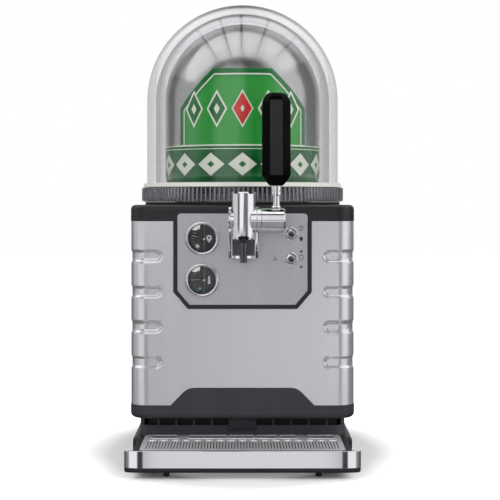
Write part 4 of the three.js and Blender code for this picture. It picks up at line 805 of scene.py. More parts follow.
def make_keg():
    """The upturned bottle: neck, shoulder, straight side and round end."""
    shoulder = (KEG_RADIUS - KEG_NECK_RADIUS, KEG_SHOULDER_TOP - KEG_SHOULDER_LOW)
    profile = [(0, KEG_LOW[2]), (KEG_NECK_RADIUS, KEG_LOW[2])]
    profile += arc((KEG_NECK_RADIUS, KEG_SHOULDER_TOP), shoulder, -90, 0, 12)
    profile += arc((0, KEG_TOP_CENTRE), KEG_RADIUS, 0, 90, 24)
    dress(turned("keg_bottle", profile, CHAMBER, steps=DOME_STEPS), KEG_FILM, "keg", "keg_shell")


def make_dome(side, low, high):
    """One clear wall of the dome: a straight tube that ends in a half ball."""
    outer, inner = high[0], high[0] - DOME_WALL
    centre = (0, high[2] - outer)
    profile = [(outer, low[2])] + arc(centre, outer, 0, 90, 32) + arc(centre, inner, 90, 0, 32)
    profile += [(inner, low[2])]
    wall = turned(f"dome_{side}_wall", profile, CHAMBER, steps=DOME_STEPS, closed=True)
    dress(wall, DOME, "dome", f"dome_{side}")


RIB_COUNT = 140
RIB_DEPTH = 0.0018
RIB_SHARES = ((0.0, 0), (0.35, 0), (0.5, RIB_DEPTH), (0.85, RIB_DEPTH))
RING_RADIUS = RING_HIGH[0]
RING_FOOT = RING_RADIUS - RIB_DEPTH - 0.0003
RING_BASE = DOME_HIGH[0] + GAP
RIB_LOW = RING_LOW[2] + 0.0015
RIB_HIGH = RING_LOW[2] + 0.0202
SHOULDER_LOW = RIB_HIGH + 0.0014
RING_FLOOR_TOP = RING_LOW[2] + 0.0047
RING_FLANGE_RADIUS = 0.1455
RING_BORE = INNER_DOME_HIGH[0] - 0.003
RING_EDGE = 0.0008


def make_ring():
    """The smoked ring that carries both domes: a ribbed band under a sloping shoulder."""
    ribs = []
    for rib in range(RIB_COUNT):
        for share, depth in RIB_SHARES:
            turn, radius = math.tau * (rib + share) / RIB_COUNT, RING_RADIUS - depth
            ribs.append((radius * math.cos(turn), CHAMBER_Y + radius * math.sin(turn)))
    bore = circle((0, CHAMBER_Y), RING_BASE, 128)
    band = plate("dome_ring_ribs", [ribs, bore], RIB_LOW, RIB_HIGH)
    dress(band, RING, "dome", "dome_ring")
    crest = RING_RADIUS - RIB_DEPTH / 4
    # The rib crests' darker copy of the plastic is painted shade
    second_finish(band, RIB_CREST_PAINTED_SHADE, lambda face: (
        math.hypot(face.center.x, face.center.y - CHAMBER_Y) > crest and abs(face.normal.z) < 0.5
    ))
    profile = [
        (RING_BORE, RING_LOW[2]), (RING_FOOT - 0.001, RING_LOW[2]), (RING_FOOT, RING_LOW[2] + 0.001),
        (RING_FOOT, SHOULDER_LOW), (RING_FLANGE_RADIUS + RING_EDGE, RING_HIGH[2] - RING_EDGE),
        (RING_FLANGE_RADIUS, RING_HIGH[2]), (RING_BASE, RING_HIGH[2]), (RING_BASE, RING_FLOOR_TOP),
        (RING_BORE, RING_FLOOR_TOP),
    ]
    ring = turned("dome_ring_band", profile, CHAMBER, steps=DOME_STEPS, closed=True)
    dress(ring, RING, "dome", "dome_ring")
    # The shoulder's paler, frosted copy of the plastic is painted light from above
    second_finish(ring, RING_FROST_PAINTED_LIGHT, lambda face: face.center.z > SHOULDER_LOW)


make_keg()
make_dome("outer", DOME_LOW, DOME_HIGH)
make_dome("inner", INNER_DOME_LOW, INNER_DOME_HIGH)
make_ring()


# Cabinet

BODY = ((-HALF_WIDTH, FRONT_Y), (HALF_WIDTH, BACK_Y))


def body_plan(inset):
    """The cabinet's outline from above, drawn in by an inset."""
    return rounded(*BODY, BODY_CORNER - inset, inset=inset)


def panel_outline(grow, steps=6):
    """The control panel's outline in X and Z, with its lower corners cut off."""
    half = PANEL_HIGH[0] + grow
    low, high = PANEL_LOW[2] - grow, PANEL_HIGH[2] + grow
    turn = math.atan2(PANEL_CHAMFER_WIDTH, PANEL_CHAMFER_HEIGHT)
    side_z = PANEL_LOW[2] + PANEL_CHAMFER_HEIGHT - grow * math.tan(turn / 2)
    foot_x = PANEL_HIGH[0] - PANEL_CHAMFER_WIDTH + grow * math.tan((math.pi / 2 - turn) / 2)
    corner = PANEL_CORNER + grow
    return (
        [(half, side_z)] + arc((half - corner, high - corner), corner, 0, 90, steps)
        + arc((corner - half, high - corner), corner, 90, 180, steps)
        + [(-half, side_z), (-foot_x, low), (foot_x, low)]
    )


def apron_outline(grow, low):
    """The skirt's raised middle in X and Z: sloping sides with round shoulders."""
    rise = APRON_TOP - SKIRT_TOP
    slope = math.atan2(rise, APRON_BASE_HALF - APRON_TOP_HALF)
    top_half = APRON_TOP_HALF + grow * math.tan(slope / 2)
    high = APRON_TOP + grow
    base_half = top_half + (APRON_BASE_HALF - APRON_TOP_HALF) * (high - low) / rise
    reach = APRON_CORNER + grow
    radius = reach / math.tan(slope / 2)
    right = [(base_half, low)]
    right += arc((top_half - reach, high - radius), radius, 90 - math.degrees(slope), 90, 8)
    return right + [(-x, z) for x, z in reversed(right)]


def make_cover():
    """The black top moulding: soft along its upper edge and open over the chamber."""
    low, high = COVER_LOW[2] - OVERRUN, COVER_HIGH[2]
    cover = plate("top_cover_moulding", [body_plan(0)], COVER_LOW[2], high)
    round_rim(cover, high, COVER_ROUND, 5, at_side(*BODY, BODY_CORNER))
    mouth = plate("mouth", [circle((0, CHAMBER_Y), CHAMBER_RADIUS, 96)], low, high + OVERRUN)
    hollow = plate("hollow", [body_plan(COVER_WALL)], low, high - COVER_WALL)
    seat = plate("seat", [panel_outline(GAP)], PANEL_FRONT - PANEL_RECESS, PANEL_FRONT + OVERRUN, "front")
    cut(cover, mouth, hollow, seat)
    dress(cover, COVER_ABS, "cabinet", "top_cover")


def make_skirt():
    """The charcoal base skirt with its raised apron, hollow over the vent neck."""
    low = SKIRT_LOW[2]
    skirt = plate("base_skirt_moulding", [body_plan(0)], low, SKIRT_TOP)
    round_rim(skirt, low, SKIRT_ROUND, 5, at_side(*BODY, BODY_CORNER))
    inner = rounded((NECK_LOW[0], SKIRT_MOUTH_FRONT), NECK_HIGH, 0.010, inset=SKIRT_LEDGE)
    mouth = plate("mouth", [inner], low - OVERRUN, SKIRT_TOP + OVERRUN)
    hollow = plate("hollow", [body_plan(SKIRT_WALL)], low + SKIRT_FLOOR, SKIRT_TOP + OVERRUN)
    cut(skirt, mouth, hollow)
    outline = apron_outline(0, SKIRT_TOP)
    apron = plate("base_skirt_apron", [outline], PANEL_FRONT - APRON_DEPTH, PANEL_FRONT, "front")
    for piece in (skirt, apron):
        dress(piece, GREY_ABS, "cabinet", "base_skirt")


def groove_share(across, level):
    """How far a place on the shell is pressed in by the grooves, from 0 to 1."""
    pressed = 0.0
    for groove in GROOVE_LEVELS:
        along = max(0.0, GROOVE_HALF_HEIGHT - across)
        distance = GROOVE_HALF_HEIGHT - math.hypot(level - groove, along)
        if across > -GROOVE_EASE and distance > -GROOVE_EASE:
            share = min(1.0, max(0.0, (distance + GROOVE_EASE / 2) / GROOVE_EASE))
            pressed = max(pressed, share * share * (3 - 2 * share))
    return pressed


def shell_path():
    """The shell's plan from the rear return on the left, round the front, to the right one."""
    radius = BODY_CORNER - SHELL_REVEAL
    x, front, back = HALF_WIDTH - SHELL_REVEAL, FRONT_Y + SHELL_REVEAL, BACK_Y - SHELL_REVEAL
    side_end = GROOVE_SIDE_END + 2 * GROOVE_EASE
    inner = HALF_WIDTH - GROOVE_REACH - 2 * GROOVE_EASE
    side, across = side_end - front - radius, x - radius - inner
    left = [(SHELL_RETURN - x, back)] + arc((radius - x, back - radius), radius, 90, 180, 8)
    steps = int(side / GROOVE_STEP)
    left += [(-x, side_end - step * side / steps) for step in range(steps)]
    left += arc((radius - x, front + radius), radius, 180, 270, int(math.pi / 2 * radius / GROOVE_STEP))
    steps = int(across / GROOVE_STEP)
    left += [(radius - x + step * across / steps, front) for step in range(1, steps + 1)]
    return left + [(-px, py) for px, py in reversed(left)]


def press_grooves(mesh):
    """Push the sheet in along the grooves, straight back on the front and inwards on the sides."""
    middle_x, middle_y = HALF_WIDTH - BODY_CORNER, FRONT_Y + BODY_CORNER
    for vertex in mesh.vertices:
        x, y, z = vertex.co
        across = min(abs(x) - (HALF_WIDTH - GROOVE_REACH), GROOVE_SIDE_END - y)
        toward = Vector((
            math.copysign(middle_x, x) - x if abs(x) > middle_x else 0, max(0, middle_y - y), 0,
        ))
        if toward.length > 0:
            vertex.co += toward.normalized() * groove_share(across, z) * GROOVE_DEPTH


def make_shell():
    """The steel jacket: one bent sheet with four soft grooves pressed round each front corner."""
    height = SHELL_HIGH[2] - SHELL_LOW[2]
    rows = int(height / GROOVE_STEP)
    shell = start("outer_shell_jacket")
    draw([(x, y, SHELL_LOW[2]) for x, y in shell_path()])
    weld()
    for _ in range(rows):
        stretch((0, 0, height / rows))
    close(shell)
    press_grooves(shell.data)
    apply(shell, "SOLIDIFY", thickness=SHELL_WALL, offset=-1, use_even_offset=True)
    mouths = (panel_outline(BEZEL_WIDTH + GAP), apron_outline(GAP, SHELL_LOW[2] - OVERRUN))
    cut(shell, *[
        plate("mouth", [mouth], PANEL_FRONT - OVERRUN, PANEL_FRONT + OVERRUN, "front") for mouth in mouths
    ])
    dress(shell, STEEL, "cabinet", "outer_shell")


make_cover()
make_skirt()
make_shell()


# Vent neck, plinth and feet

NECK_FRONT_Y = NECK_LOW[1] + 0.0015
NECK = ((NECK_LOW[0], NECK_FRONT_Y), NECK_HIGH)
NECK_WALL = 0.003
NECK_CORNER = 0.016
# Insets of the black sheet behind the vent cells, painted shade for the neck's dark inside
SHADE_SHEET_INSETS = (0.010, 0.0115)
VENT_PITCH = 0.0253
VENT_CELL = 0.0227
VENT_LOW = NECK_LOW[2] + 0.0154
VENT_HIGH = VENT_LOW + 0.0103
VENT_CUT = 0.008
BLOCK_HALF = 0.0198
BLOCK_LOW = NECK_LOW[2] + 0.0067
BLOCK_HIGH = NECK_LOW[2] + 0.0237
PLINTH_ROUND = 0.009
PLINTH_FOOT_ROUND = 0.0015
PLINTH_FLOOR = 0.003
FEET = ("foot_front_left", "foot_front_right", "foot_rear_left", "foot_rear_right")


def vent_starts(limit):
    """Where the vent cells begin, outwards from the centre block."""
    return [BLOCK_HALF + VENT_PITCH * cell for cell in range(int((limit - BLOCK_HALF + 0.001) / VENT_PITCH))]


def make_neck():
    """The set-back neck: vent cells in its front and sides, a plain block in the middle."""
    walls = [rounded(*NECK, NECK_CORNER), rounded(*NECK, NECK_CORNER - NECK_WALL, inset=NECK_WALL)]
    neck = plate("vent_neck_wall", walls, NECK_LOW[2], NECK_HIGH[2])
    cutters = start("cells")
    middle = (NECK_FRONT_Y + NECK_HIGH[1]) / 2
    for side in (-1, 1):
        for x in vent_starts(NECK_HIGH[0]):
            near, far = side * x, side * (x + VENT_CELL)
            add_box((near, NECK_FRONT_Y - OVERRUN, VENT_LOW), (far, NECK_FRONT_Y + VENT_CUT, VENT_HIGH))
        for y in vent_starts(middle - NECK_FRONT_Y - NECK_CORNER):
            near, far = middle + side * y, middle + side * (y + VENT_CELL)
            add_box((-HALF_WIDTH, near, VENT_LOW), (HALF_WIDTH, far, VENT_HIGH))
    close(cutters)
    cut(neck, cutters)
    soften(neck, 0.0004, 1)
    # The neck wall's lighter grey is painted light against its shade
    dress(neck, NECK_ABS_PAINTED_LIGHT, "cabinet", "vent_neck")
    # A black sheet just inside the vent cells: painted shade for the dark inside of the neck
    deep = [rounded(*NECK, NECK_CORNER - inset, inset=inset) for inset in SHADE_SHEET_INSETS]
    shade_sheet = plate("vent_neck_baffle", deep, NECK_LOW[2] + GAP, NECK_HIGH[2] - GAP)
    dress(shade_sheet, RUBBER, "cabinet", "vent_neck")
    low, high = (-BLOCK_HALF, NECK_LOW[1], BLOCK_LOW), (BLOCK_HALF, NECK_FRONT_Y + 0.001, BLOCK_HIGH)
    dress(block("vent_neck_block", low, high, 0.0008), GREY_ABS, "cabinet", "vent_neck")


def make_plinth():
    """The base with its round shoulders, open at the top for the neck."""
    low, high = PLINTH_LOW[2], PLINTH_HIGH[2]
    plinth = plate("base_plinth_moulding", [rounded(PLINTH_LOW, PLINTH_HIGH, BODY_CORNER)], low, high)
    side = at_side(PLINTH_LOW, PLINTH_HIGH, PLINTH_ROUND)
    round_rim(plinth, high, PLINTH_ROUND, 7, side)
    round_rim(plinth, low, PLINTH_FOOT_ROUND, 2, side)
    inner = rounded(*NECK, NECK_CORNER - NECK_WALL, inset=NECK_WALL)
    cut(plinth, plate("mouth", [inner], low + PLINTH_FLOOR, high + OVERRUN))
    dress(plinth, BLACK_ABS, "cabinet", "base_plinth")


def make_feet():
    """Rubber feet: a domed pad with a step where it is screwed on."""
    for name in FEET:
        low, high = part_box(name)
        centre = ((low[0] + high[0]) / 2, (low[1] + high[1]) / 2, 0)
        radius, top = (high[0] - low[0]) / 2, high[2]
        profile = mm((0, 0.6), (4, 0.6), (4.6, 0)) + arc((radius - 0.0025, 0.0025), 0.0025, -90, 0, 5)
        profile += [(radius, top - 0.002), (radius - 0.0012, top - 0.0014), (radius - 0.0012, top), (0, top)]
        dress(turned(name + "_pad", profile, centre, steps=40), RUBBER, "cabinet", name)


make_neck()
make_plinth()
make_feet()


# Control panel

GAUGES = {"pressure": 15, "temperature": 0}
TOGGLES = ("light", "cooling")
GAUGE_X = -0.0563
GAUGE_HOLE = 0.0213
TOGGLE_X = 0.0676
TOGGLE_HOLE = 0.0062
DIAL_REACH = PANEL_FRONT - 0.005
DIAL_RADIUS = 0.0193
DIAL_FIELD = 0.0186
DIAL_CENTRE_SHIFT = 0.0025
MARK_COUNT = 9
MARK_FIRST, MARK_STEP = -62, 15.5
DIVIDE = (0.0026, 0.0030, 0.0189)
INK = 0.0003


def centre_of(name):
    low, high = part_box(name)
    return [(a + b) / 2 for a, b in zip(low, high)]


def make_panel():
    """The steel fascia plate, drilled for the gauges and the toggles."""
    holes = [circle((GAUGE_X, centre_of(f"{name}_gauge_bezel")[2]), GAUGE_HOLE, 64) for name in GAUGES]
    holes += [circle((TOGGLE_X, centre_of(f"{name}_switch_body")[2]), TOGGLE_HOLE, 32) for name in TOGGLES]
    outlines = [panel_outline(0), *holes]
    panel = plate("control_panel_plate", outlines, PANEL_FRONT - 0.002, PANEL_FRONT, "front")
    soften(panel, 0.0006, 2)
    dress(panel, PANEL_STEEL, "cabinet", "control_panel")


def make_bezel():
    """The black frame that trims the panel's sides and foot up to the top cover."""
    front = PANEL_FRONT + 0.0012
    outlines = [panel_outline(BEZEL_WIDTH), panel_outline(GAP)]
    trim = plate("panel_bezel_trim", outlines, front - 0.0052, front, "front")
    cut(trim, block("above", (-HALF_WIDTH, FRONT_Y - 0.02, SHELL_HIGH[2]), (HALF_WIDTH, FRONT_Y + 0.02, 0.4)))
    soften(trim, 0.0011, 3, 60)
    dress(trim, BLACK_ABS, "cabinet", "panel_bezel")


def make_gauge(name, tilt):
    """A dial in its cup behind a chrome ring and a flat glass."""
    x, _, z = centre_of(f"{name}_gauge_bezel")
    centre, owner = (x, FRONT_Y, z), f"{name}_gauge"
    cup = mm((0, -26), (19.4, -26), (21, -24.4), (21, 0), (19.6, 0), (19.4, -5), (0, -5))
    dress(turned(f"{owner}_cup", cup, centre, "front", 72), GLOSS_BLACK, "cabinet", f"{owner}_case")
    ring = mm((19.2, 0.3)) + arc((0.0213, 0.0009), (0.0022, 0.0030), 0, 180, 14)
    bezel = turned(f"{owner}_ring", ring, centre, "front", 96, closed=True)
    dress(bezel, CHROME, "cabinet", f"{owner}_bezel")
    lens = mm((0, 0.3), (19.5, 0.3), (19.5, 1.2), (19, 1.5), (0, 1.5))
    dress(turned(f"{owner}_lens", lens, centre, "front", 72), GLASS, "cabinet", f"{owner}_glass")
    make_dial(f"{name}_dial", x, z)
    make_needle(name, x, z, tilt)


def printed(name, outlines, material, thick=INK, base=DIAL_REACH):
    """A flat print: filled outlines in X and Z, just proud of what carries them."""
    dress(plate(name, outlines, base, base + thick, "front"), material, "cabinet")


def bar(centre, turn_degrees, near, far, width, far_width=None):
    """A straight mark from one radius to another, turned clockwise from the left."""
    x, z = centre
    side, up = math.cos(math.radians(turn_degrees)), math.sin(math.radians(turn_degrees))
    wide, far_wide = width / 2, (far_width or width) / 2
    ends = ((near, -wide), (far, -far_wide), (far, far_wide), (near, wide))
    return [(x - a * side - b * up, z + a * up - b * side) for a, b in ends]


def make_dial(name, x, z):
    """The black dial: a fan of scale lines on its left, a plain sign on its right."""
    printed(f"{name}_face", [circle((x, z), DIAL_RADIUS, 72)], DIAL_BLACK, 0.00012)
    printed(f"{name}_scale_field", [arc((x, z), DIAL_FIELD, 98, 262, 24)], DIAL_GREY, 0.0002)
    for mark in range(MARK_COUNT):
        near, width = (0.0145, 0.0004) if mark % 2 else (0.0125, 0.0006)
        turn = MARK_FIRST + MARK_STEP * mark
        outline = bar((x + DIAL_CENTRE_SHIFT, z), turn, near, 0.0178, width)
        printed(f"{name}_mark_{mark + 1}", [outline], DIAL_MARK)
    left, right, half = DIVIDE
    divide = [(x + left, z - half), (x + right, z - half), (x + right, z + half), (x + left, z + half)]
    printed(f"{name}_divide", [divide], DIAL_MARK)
    # The pale patch at the dial's upper left is painted glare, the light its glass mirrors
    zone = arc((x, z), DIAL_FIELD, 98, 140, 8) + list(reversed(arc((x, z), 0.0138, 103, 128, 6)))
    printed(f"{name}_rest_zone", [zone], DIAL_GLARE_PAINT)


def sign_drop(centre, size):
    """A drop's outline, point down."""
    x, z = centre
    return arc((x, z + size * 0.12), size * 0.38, -35, 215, 18) + [(x, z - size * 0.55)]


def sign_tube(centre, size):
    """A thermometer's outline: a thin stem on a round bulb."""
    x, z = centre
    stem = arc((x, z + size * 0.42), size * 0.12, 0, 180, 8)
    return stem + arc((x, z - size * 0.34), size * 0.2, 128, 412, 18)


def bulb(centre, size):
    """A light bulb's outline, its cap down."""
    x, z = centre
    low, half = z - size * 0.5, size * 0.2
    return arc((x, z + size * 0.15), size * 0.42, -55, 235, 20) + [(x - half, low), (x + half, low)]


def diamond(centre, half):
    return arc(centre, half, -90, 180, 3)


def make_dial_signs():
    """Signs on the dials: a drop over a low diamond, and a thermometer over a blue spot."""
    high, low = (centre_of(f"{name}_gauge_bezel")[2] for name in GAUGES)
    right, left = GAUGE_X + 0.0098, GAUGE_X - 0.0065
    printed("pressure_dial_drop", [sign_drop((right, high - 0.0005), 0.0105)], DIAL_SIGN)
    printed("pressure_dial_drop_heart", [diamond((right, high + 0.001), 0.0018)], DIAL_BLACK, 0.0004)
    printed("pressure_dial_diamond", [diamond((left, high - 0.0108), 0.0032)], DIAL_SIGN)
    printed("temperature_dial_tube", [sign_tube((right, low), 0.0105)], DIAL_SIGN)
    printed("temperature_dial_spot", [circle((left + 0.0035, low - 0.0118), 0.0016, 24)], DIAL_BLUE)


def make_needle(name, x, z, tilt):
    """A thin pointer with its counterweight, on a domed hub."""
    reach, body, owner = DIAL_REACH + 0.0016, f"{name}_pointer", f"{name}_needle"
    blade = bar((x, z), tilt, 0.0158, 0.0, 0.0004, 0.0016)
    blade += bar((x, z), tilt, -0.0002, -0.0040, 0.0016, 0.0022)[1:3]
    dress(plate(f"{body}_blade", [blade], reach, reach + 0.0007, "front"), WHITE_PAINT, body, owner)
    hub = mm((0, -0.2), (2.6, -0.2), (2.6, 0.6)) + arc((0, 0.0006), (0.0026, 0.0005), 0, 90, 5)
    dress(turned(f"{body}_hub", hub, (x, -reach, z), "front", 32), GLOSS_BLACK, body, owner)


def make_toggle(name):
    """A toggle switch: washer, seal, hexagon nut, threaded neck, box and a tapered bat."""
    owner, shape = f"{name}_switch_body", f"{name}_switch"
    x, _, z = centre_of(owner)
    front = PANEL_FRONT + GAP + 0.0007
    washer = mm((5.3, 0), (9.4, 0), (9.4, 0.4), (9.0, 0.7), (5.3, 0.7))
    washer = turned(f"{shape}_washer", washer, (x, FRONT_Y - GAP, z), "front", 48, closed=True)
    dress(washer, CHROME, "cabinet", owner)
    seal = mm((5.3, 0), (7.4, 0), (7.4, 0.5), (5.3, 0.5))
    seal = turned(f"{shape}_seal", seal, (x, -front, z), "front", 40, closed=True)
    dress(seal, RUBBER, "cabinet", owner)
    hexagon = arc((x, z), 0.0074, 0, 300, 5)
    nut = plate(f"{shape}_nut", [hexagon], front + 0.0005, front + 0.0021, "front")
    chamfer = mm((5.2, 3), (6.2, 2.1), (8.4, 1.1), (12, 1.1), (12, 3))
    cut(nut, turned("chamfer", chamfer, (x, -front, z), "front", 48, closed=True))
    dress(nut, CHROME, "cabinet", owner)
    neck = mm((4.6, 2.6))
    for turn in range(3):
        neck += mm((5, 2.8 + turn * 0.5), (4.7, 3.05 + turn * 0.5))
    neck += mm((4.8, 4.1), (4.5, 4.5), (3.8, 4.5), (2.6, 1.8), (0, 1.8), (0, 1), (4.6, 1))
    dress(turned(f"{shape}_neck", neck, (x, FRONT_Y, z), "front", 40), CHROME, "cabinet", owner)
    low, high = (x - 0.0065, FRONT_Y + 0.0023, z - 0.0095), (x + 0.0065, FRONT_Y + 0.0203, z + 0.0095)
    dress(block(f"{shape}_box", low, high, 0.0006), GLOSS_BLACK, "cabinet", owner)
    low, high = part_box(f"{shape}_bat")
    root, tip, ball = -high[1], -low[1], 0.00385
    bat = [(0, root), (0.0019, root), (0.0019, root + 0.003), (0.0024, root + 0.006)]
    bat += arc((0, tip - ball), ball, -38, 90, 12)
    # The bat takes the dark plate in place of chrome: painted reflection, a dark tip for what its chrome ball
    # mirrors
    stick = turned(f"{shape}_lever", bat, (x, 0, z), "front", 40)
    dress(stick, BLACK_NICKEL_AND_PAINTED_REFLECTION, f"{name}_toggle", f"{shape}_bat")


def make_panel_signs():
    """Plain signs beside the toggles: a lit and an unlit bulb, and a drop between two dots."""
    x = 0.0816
    signs = {
        "bulb_off": [bulb((x, 0.3303), 0.0065), bulb((x, 0.3303), 0.0046)],
        "bulb_on": [bulb((x, 0.3154), 0.0058)],
        "dot_high": [circle((x, 0.2983), 0.0017, 24)],
        "drop": [sign_drop((x, 0.2895), 0.0086), sign_drop((x, 0.2896), 0.0068)],
        "dot_low": [circle((x, 0.2769), 0.0017, 24)],
    }
    for name, outlines in signs.items():
        printed(f"sign_{name}", outlines, PANEL_INK, 0.0001, PANEL_FRONT)


def make_indicator():
    """A small triangular lens."""
    low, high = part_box("indicator_lens")
    x, radius = (low[0] + high[0]) / 2, (high[0] - low[0]) / math.sqrt(3)
    triangle = arc((x, high[2] - radius), radius, 90, 330, 2)
    lens = plate("indicator_window", [triangle], -high[1], -low[1], "front")
    soften(lens, 0.0004, 2)
    dress(lens, LENS, "cabinet", "indicator_lens")


make_panel()
make_bezel()
for gauge, tilt in GAUGES.items():
    make_gauge(gauge, tilt)
make_dial_signs()
for toggle in TOGGLES:
    make_toggle(toggle)
make_panel_signs()
make_indicator()


# Tap

TAP_X = 0.0015
TAP_Y = FRONT_Y - 0.038
TAP = (TAP_X, TAP_Y, 0)
TAP_BORE = 0.0173
BARREL_LOW, BARREL_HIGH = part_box("tap_barrel")
PIVOT_Z = BARREL_LOW[2] + 0.027
PIVOT = (TAP_X, TAP_Y, PIVOT_Z)
BRACKET_LOW, BRACKET_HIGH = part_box("tap_bracket")
BRACKET_HALF = (BRACKET_HIGH[0] - BRACKET_LOW[0]) / 2
RECESS_LOW, RECESS_HIGH = BRACKET_LOW[2] + 0.0034, BRACKET_LOW[2] + 0.0274
BRACKET_SCREWS = ((-1, 0.3005), (1, 0.3005), (-1, 0.3500))
NOTCH_NEAR, NOTCH_FAR = 0.007, 0.013


def recess_plate(name, base_half, top_half, low, high, back, front):
    """A plate of the bracket's recess: narrower at the top than at its foot."""
    outline = [(TAP_X - base_half, low), (TAP_X + base_half, low)]
    outline += [(TAP_X + top_half, high), (TAP_X - top_half, high)]
    return plate(name, [outline], back, front, "front")


def make_bracket():
    """The chrome block that holds the barrel off the panel, with a recess behind the spout."""
    front = -BRACKET_LOW[1]
    low, high = (TAP_X - BRACKET_HALF, *BRACKET_LOW[1:]), (TAP_X + BRACKET_HALF, *BRACKET_HIGH[1:])
    bracket = block("tap_bracket_block", low, high, 0.0012)
    saddle = turned("saddle", [(0, 0.2), (TAP_BORE, 0.2), (TAP_BORE, 0.4), (0, 0.4)], TAP)
    across = [(0, -0.0208), (TAP_BORE, -0.0208), (TAP_BORE, 0.0245), (0, 0.0245)]
    pivot = turned("pivot", across, PIVOT, "right")
    recess = recess_plate("recess", 0.0155, 0.011, RECESS_LOW, RECESS_HIGH, front - 0.012, front + OVERRUN)
    cut(bracket, saddle, pivot, recess)
    dress(bracket, CHROME, "cabinet", "tap_bracket")
    # A dark steel sheet at the back of the recess: painted shade for the shade inside it
    low, high = RECESS_LOW + GAP, RECESS_HIGH - GAP
    lining = recess_plate("tap_bracket_recess", 0.0152, 0.0108, low, high, front - 0.0119, front - 0.0114)
    dress(lining, RECESS_PAINTED_SHADE_STEEL, "cabinet", "tap_bracket")
    for side, height in BRACKET_SCREWS:
        centre = (TAP_X + side * (BRACKET_HALF - 0.0022), BRACKET_LOW[1] + 0.0002, height)
        head = mm((0, 0), (1.3, 0)) + arc((0, 0), (0.0013, 0.0007), 0, 90, 5)
        name = f"tap_bracket_screw_{int(height * 1000)}_{side + 2}"
        dress(turned(name, head, centre, "front", 24), CHROME, "cabinet", "tap_bracket")


def make_barrel():
    """The upright chrome barrel: a notched crown, an arched foot, the pivot's collar and boss."""
    low, high = BARREL_LOW[2], BARREL_HIGH[2]
    profile = [(0.0135, low), (0.0166, low), (0.017, low + 0.0004), (0.017, high - 0.0034)]
    profile += arc((0.0136, high - 0.0034), 0.0034, 0, 90, 6)
    profile += [(0, high), (0, high - 0.009), (0.0135, high - 0.009)]
    barrel = turned("tap_barrel_body", profile, TAP, steps=96)
    arch = mm((0, 0), (22, 0), (22, 22), (0, 22))
    arch = turned("arch", arch, (TAP_X, TAP_Y, low - 0.016), "front")
    notches = start("notches")
    for side in (-1, 1):
        near, far = TAP_X + side * NOTCH_NEAR, TAP_X + side * NOTCH_FAR
        add_box((near, TAP_Y - 0.03, high - 0.003), (far, TAP_Y + 0.03, high + OVERRUN))
    close(notches)
    cut(barrel, arch, notches)
    soften(barrel, 0.0003, 2, 50)
    collar = mm(
        (0, 10), (16.6, 10), (16.6, 17.2), (15.8, 17.8), (15.8, 18.6), (17, 19.2), (17, 23.8),
        (16.6, 24.2), (0, 24.2),
    )
    boss = mm((0, -20.5), (4.5, -20.5), (5, -20), (9.8, -20), (11, -18.8), (11, -10), (0, -10))
    pieces = (
        barrel,
        turned("tap_barrel_collar", collar, PIVOT, "right", 72),
        turned("tap_barrel_boss", boss, PIVOT, "right"),
    )
    for piece in pieces:
        dress(piece, CHROME, "cabinet", "tap_barrel")


def make_nozzle():
    """The black flared nozzle."""
    low, high = (corner[2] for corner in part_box("nozzle_collar"))
    profile = [
        (0.0051, low), (0.0058, low), (0.0065, low + 0.0008), (0.0065, low + 0.006),
        (0.0095, low + 0.011), (0.0132, low + 0.011), (0.0132, high), (0.0051, high),
    ]
    nozzle = turned("nozzle_flare", profile, TAP, closed=True)
    dress(nozzle, GLOSS_BLACK, "cabinet", "nozzle_collar")


def make_spout():
    """The long thin spout tube."""
    low, high = (corner[2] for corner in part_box("spout_tube"))
    profile = [
        (0.0032, low + 0.0004), (0.0036, low), (0.0043, low), (0.00475, low + 0.0006),
        (0.00475, high), (0.0032, high),
    ]
    spout = turned("spout_tube_long", profile, TAP, steps=48, closed=True)
    dress(spout, BLACK_NICKEL_AND_PAINTED_REFLECTION, "cabinet", "spout_tube")


make_bracket()
make_barrel()
make_nozzle()
make_spout()


# Lever

STEM_X = 0.046
SLEEVE_BORE = 0.0063
STEM_RADIUS = 0.00525
STEM_TANG = 0.0040
FERRULE_RADIUS = 0.0070
FERRULE_NECK = 0.0064
GRIP_LOW, GRIP_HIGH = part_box("lever_grip")

# Shares of the grip's half width and depth, with the rise from its foot or drop from its crown
GRIP_FOOT = [(0.446, 0.512, 0), (0.60, 0.64, 0.003), (0.93, 0.94, 0.0115), (1.0, 1.0, 0.0145)]
GRIP_CROWN = [
    (1.0, 1.0, 0.0165), (0.95, 0.93, 0.0105), (0.83, 0.80, 0.0056), (0.68, 0.64, 0.0020), (0.46, 0.46, 0),
]
FACET_SHARES = (0.469, 0.471)


def make_sleeve():
    """The turned sleeve on the pivot, with the pin's end in its bore."""
    low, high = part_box("lever_sleeve")
    centre, length = (low[0], TAP_Y, PIVOT_Z), high[0] - low[0]
    profile = [
        (SLEEVE_BORE, 0), (0.0164, 0), (0.017, 0.0005), (0.017, length - 0.0016),
        (0.0158, length - 0.0004), (0.0155, length), (SLEEVE_BORE, length),
    ]
    sleeve = turned("lever_sleeve_drum", profile, centre, "right", 96, closed=True)
    near, far, radius = length - 0.0016, length - 0.0002, SLEEVE_BORE - 0.0001
    end = [(0, near), (radius, near), (radius, far), (0, far)]
    pin = turned("lever_sleeve_pin", end, centre, "right", 40)
    for piece in (sleeve, pin):
        dress(piece, CHROME, "lever", "lever_sleeve")


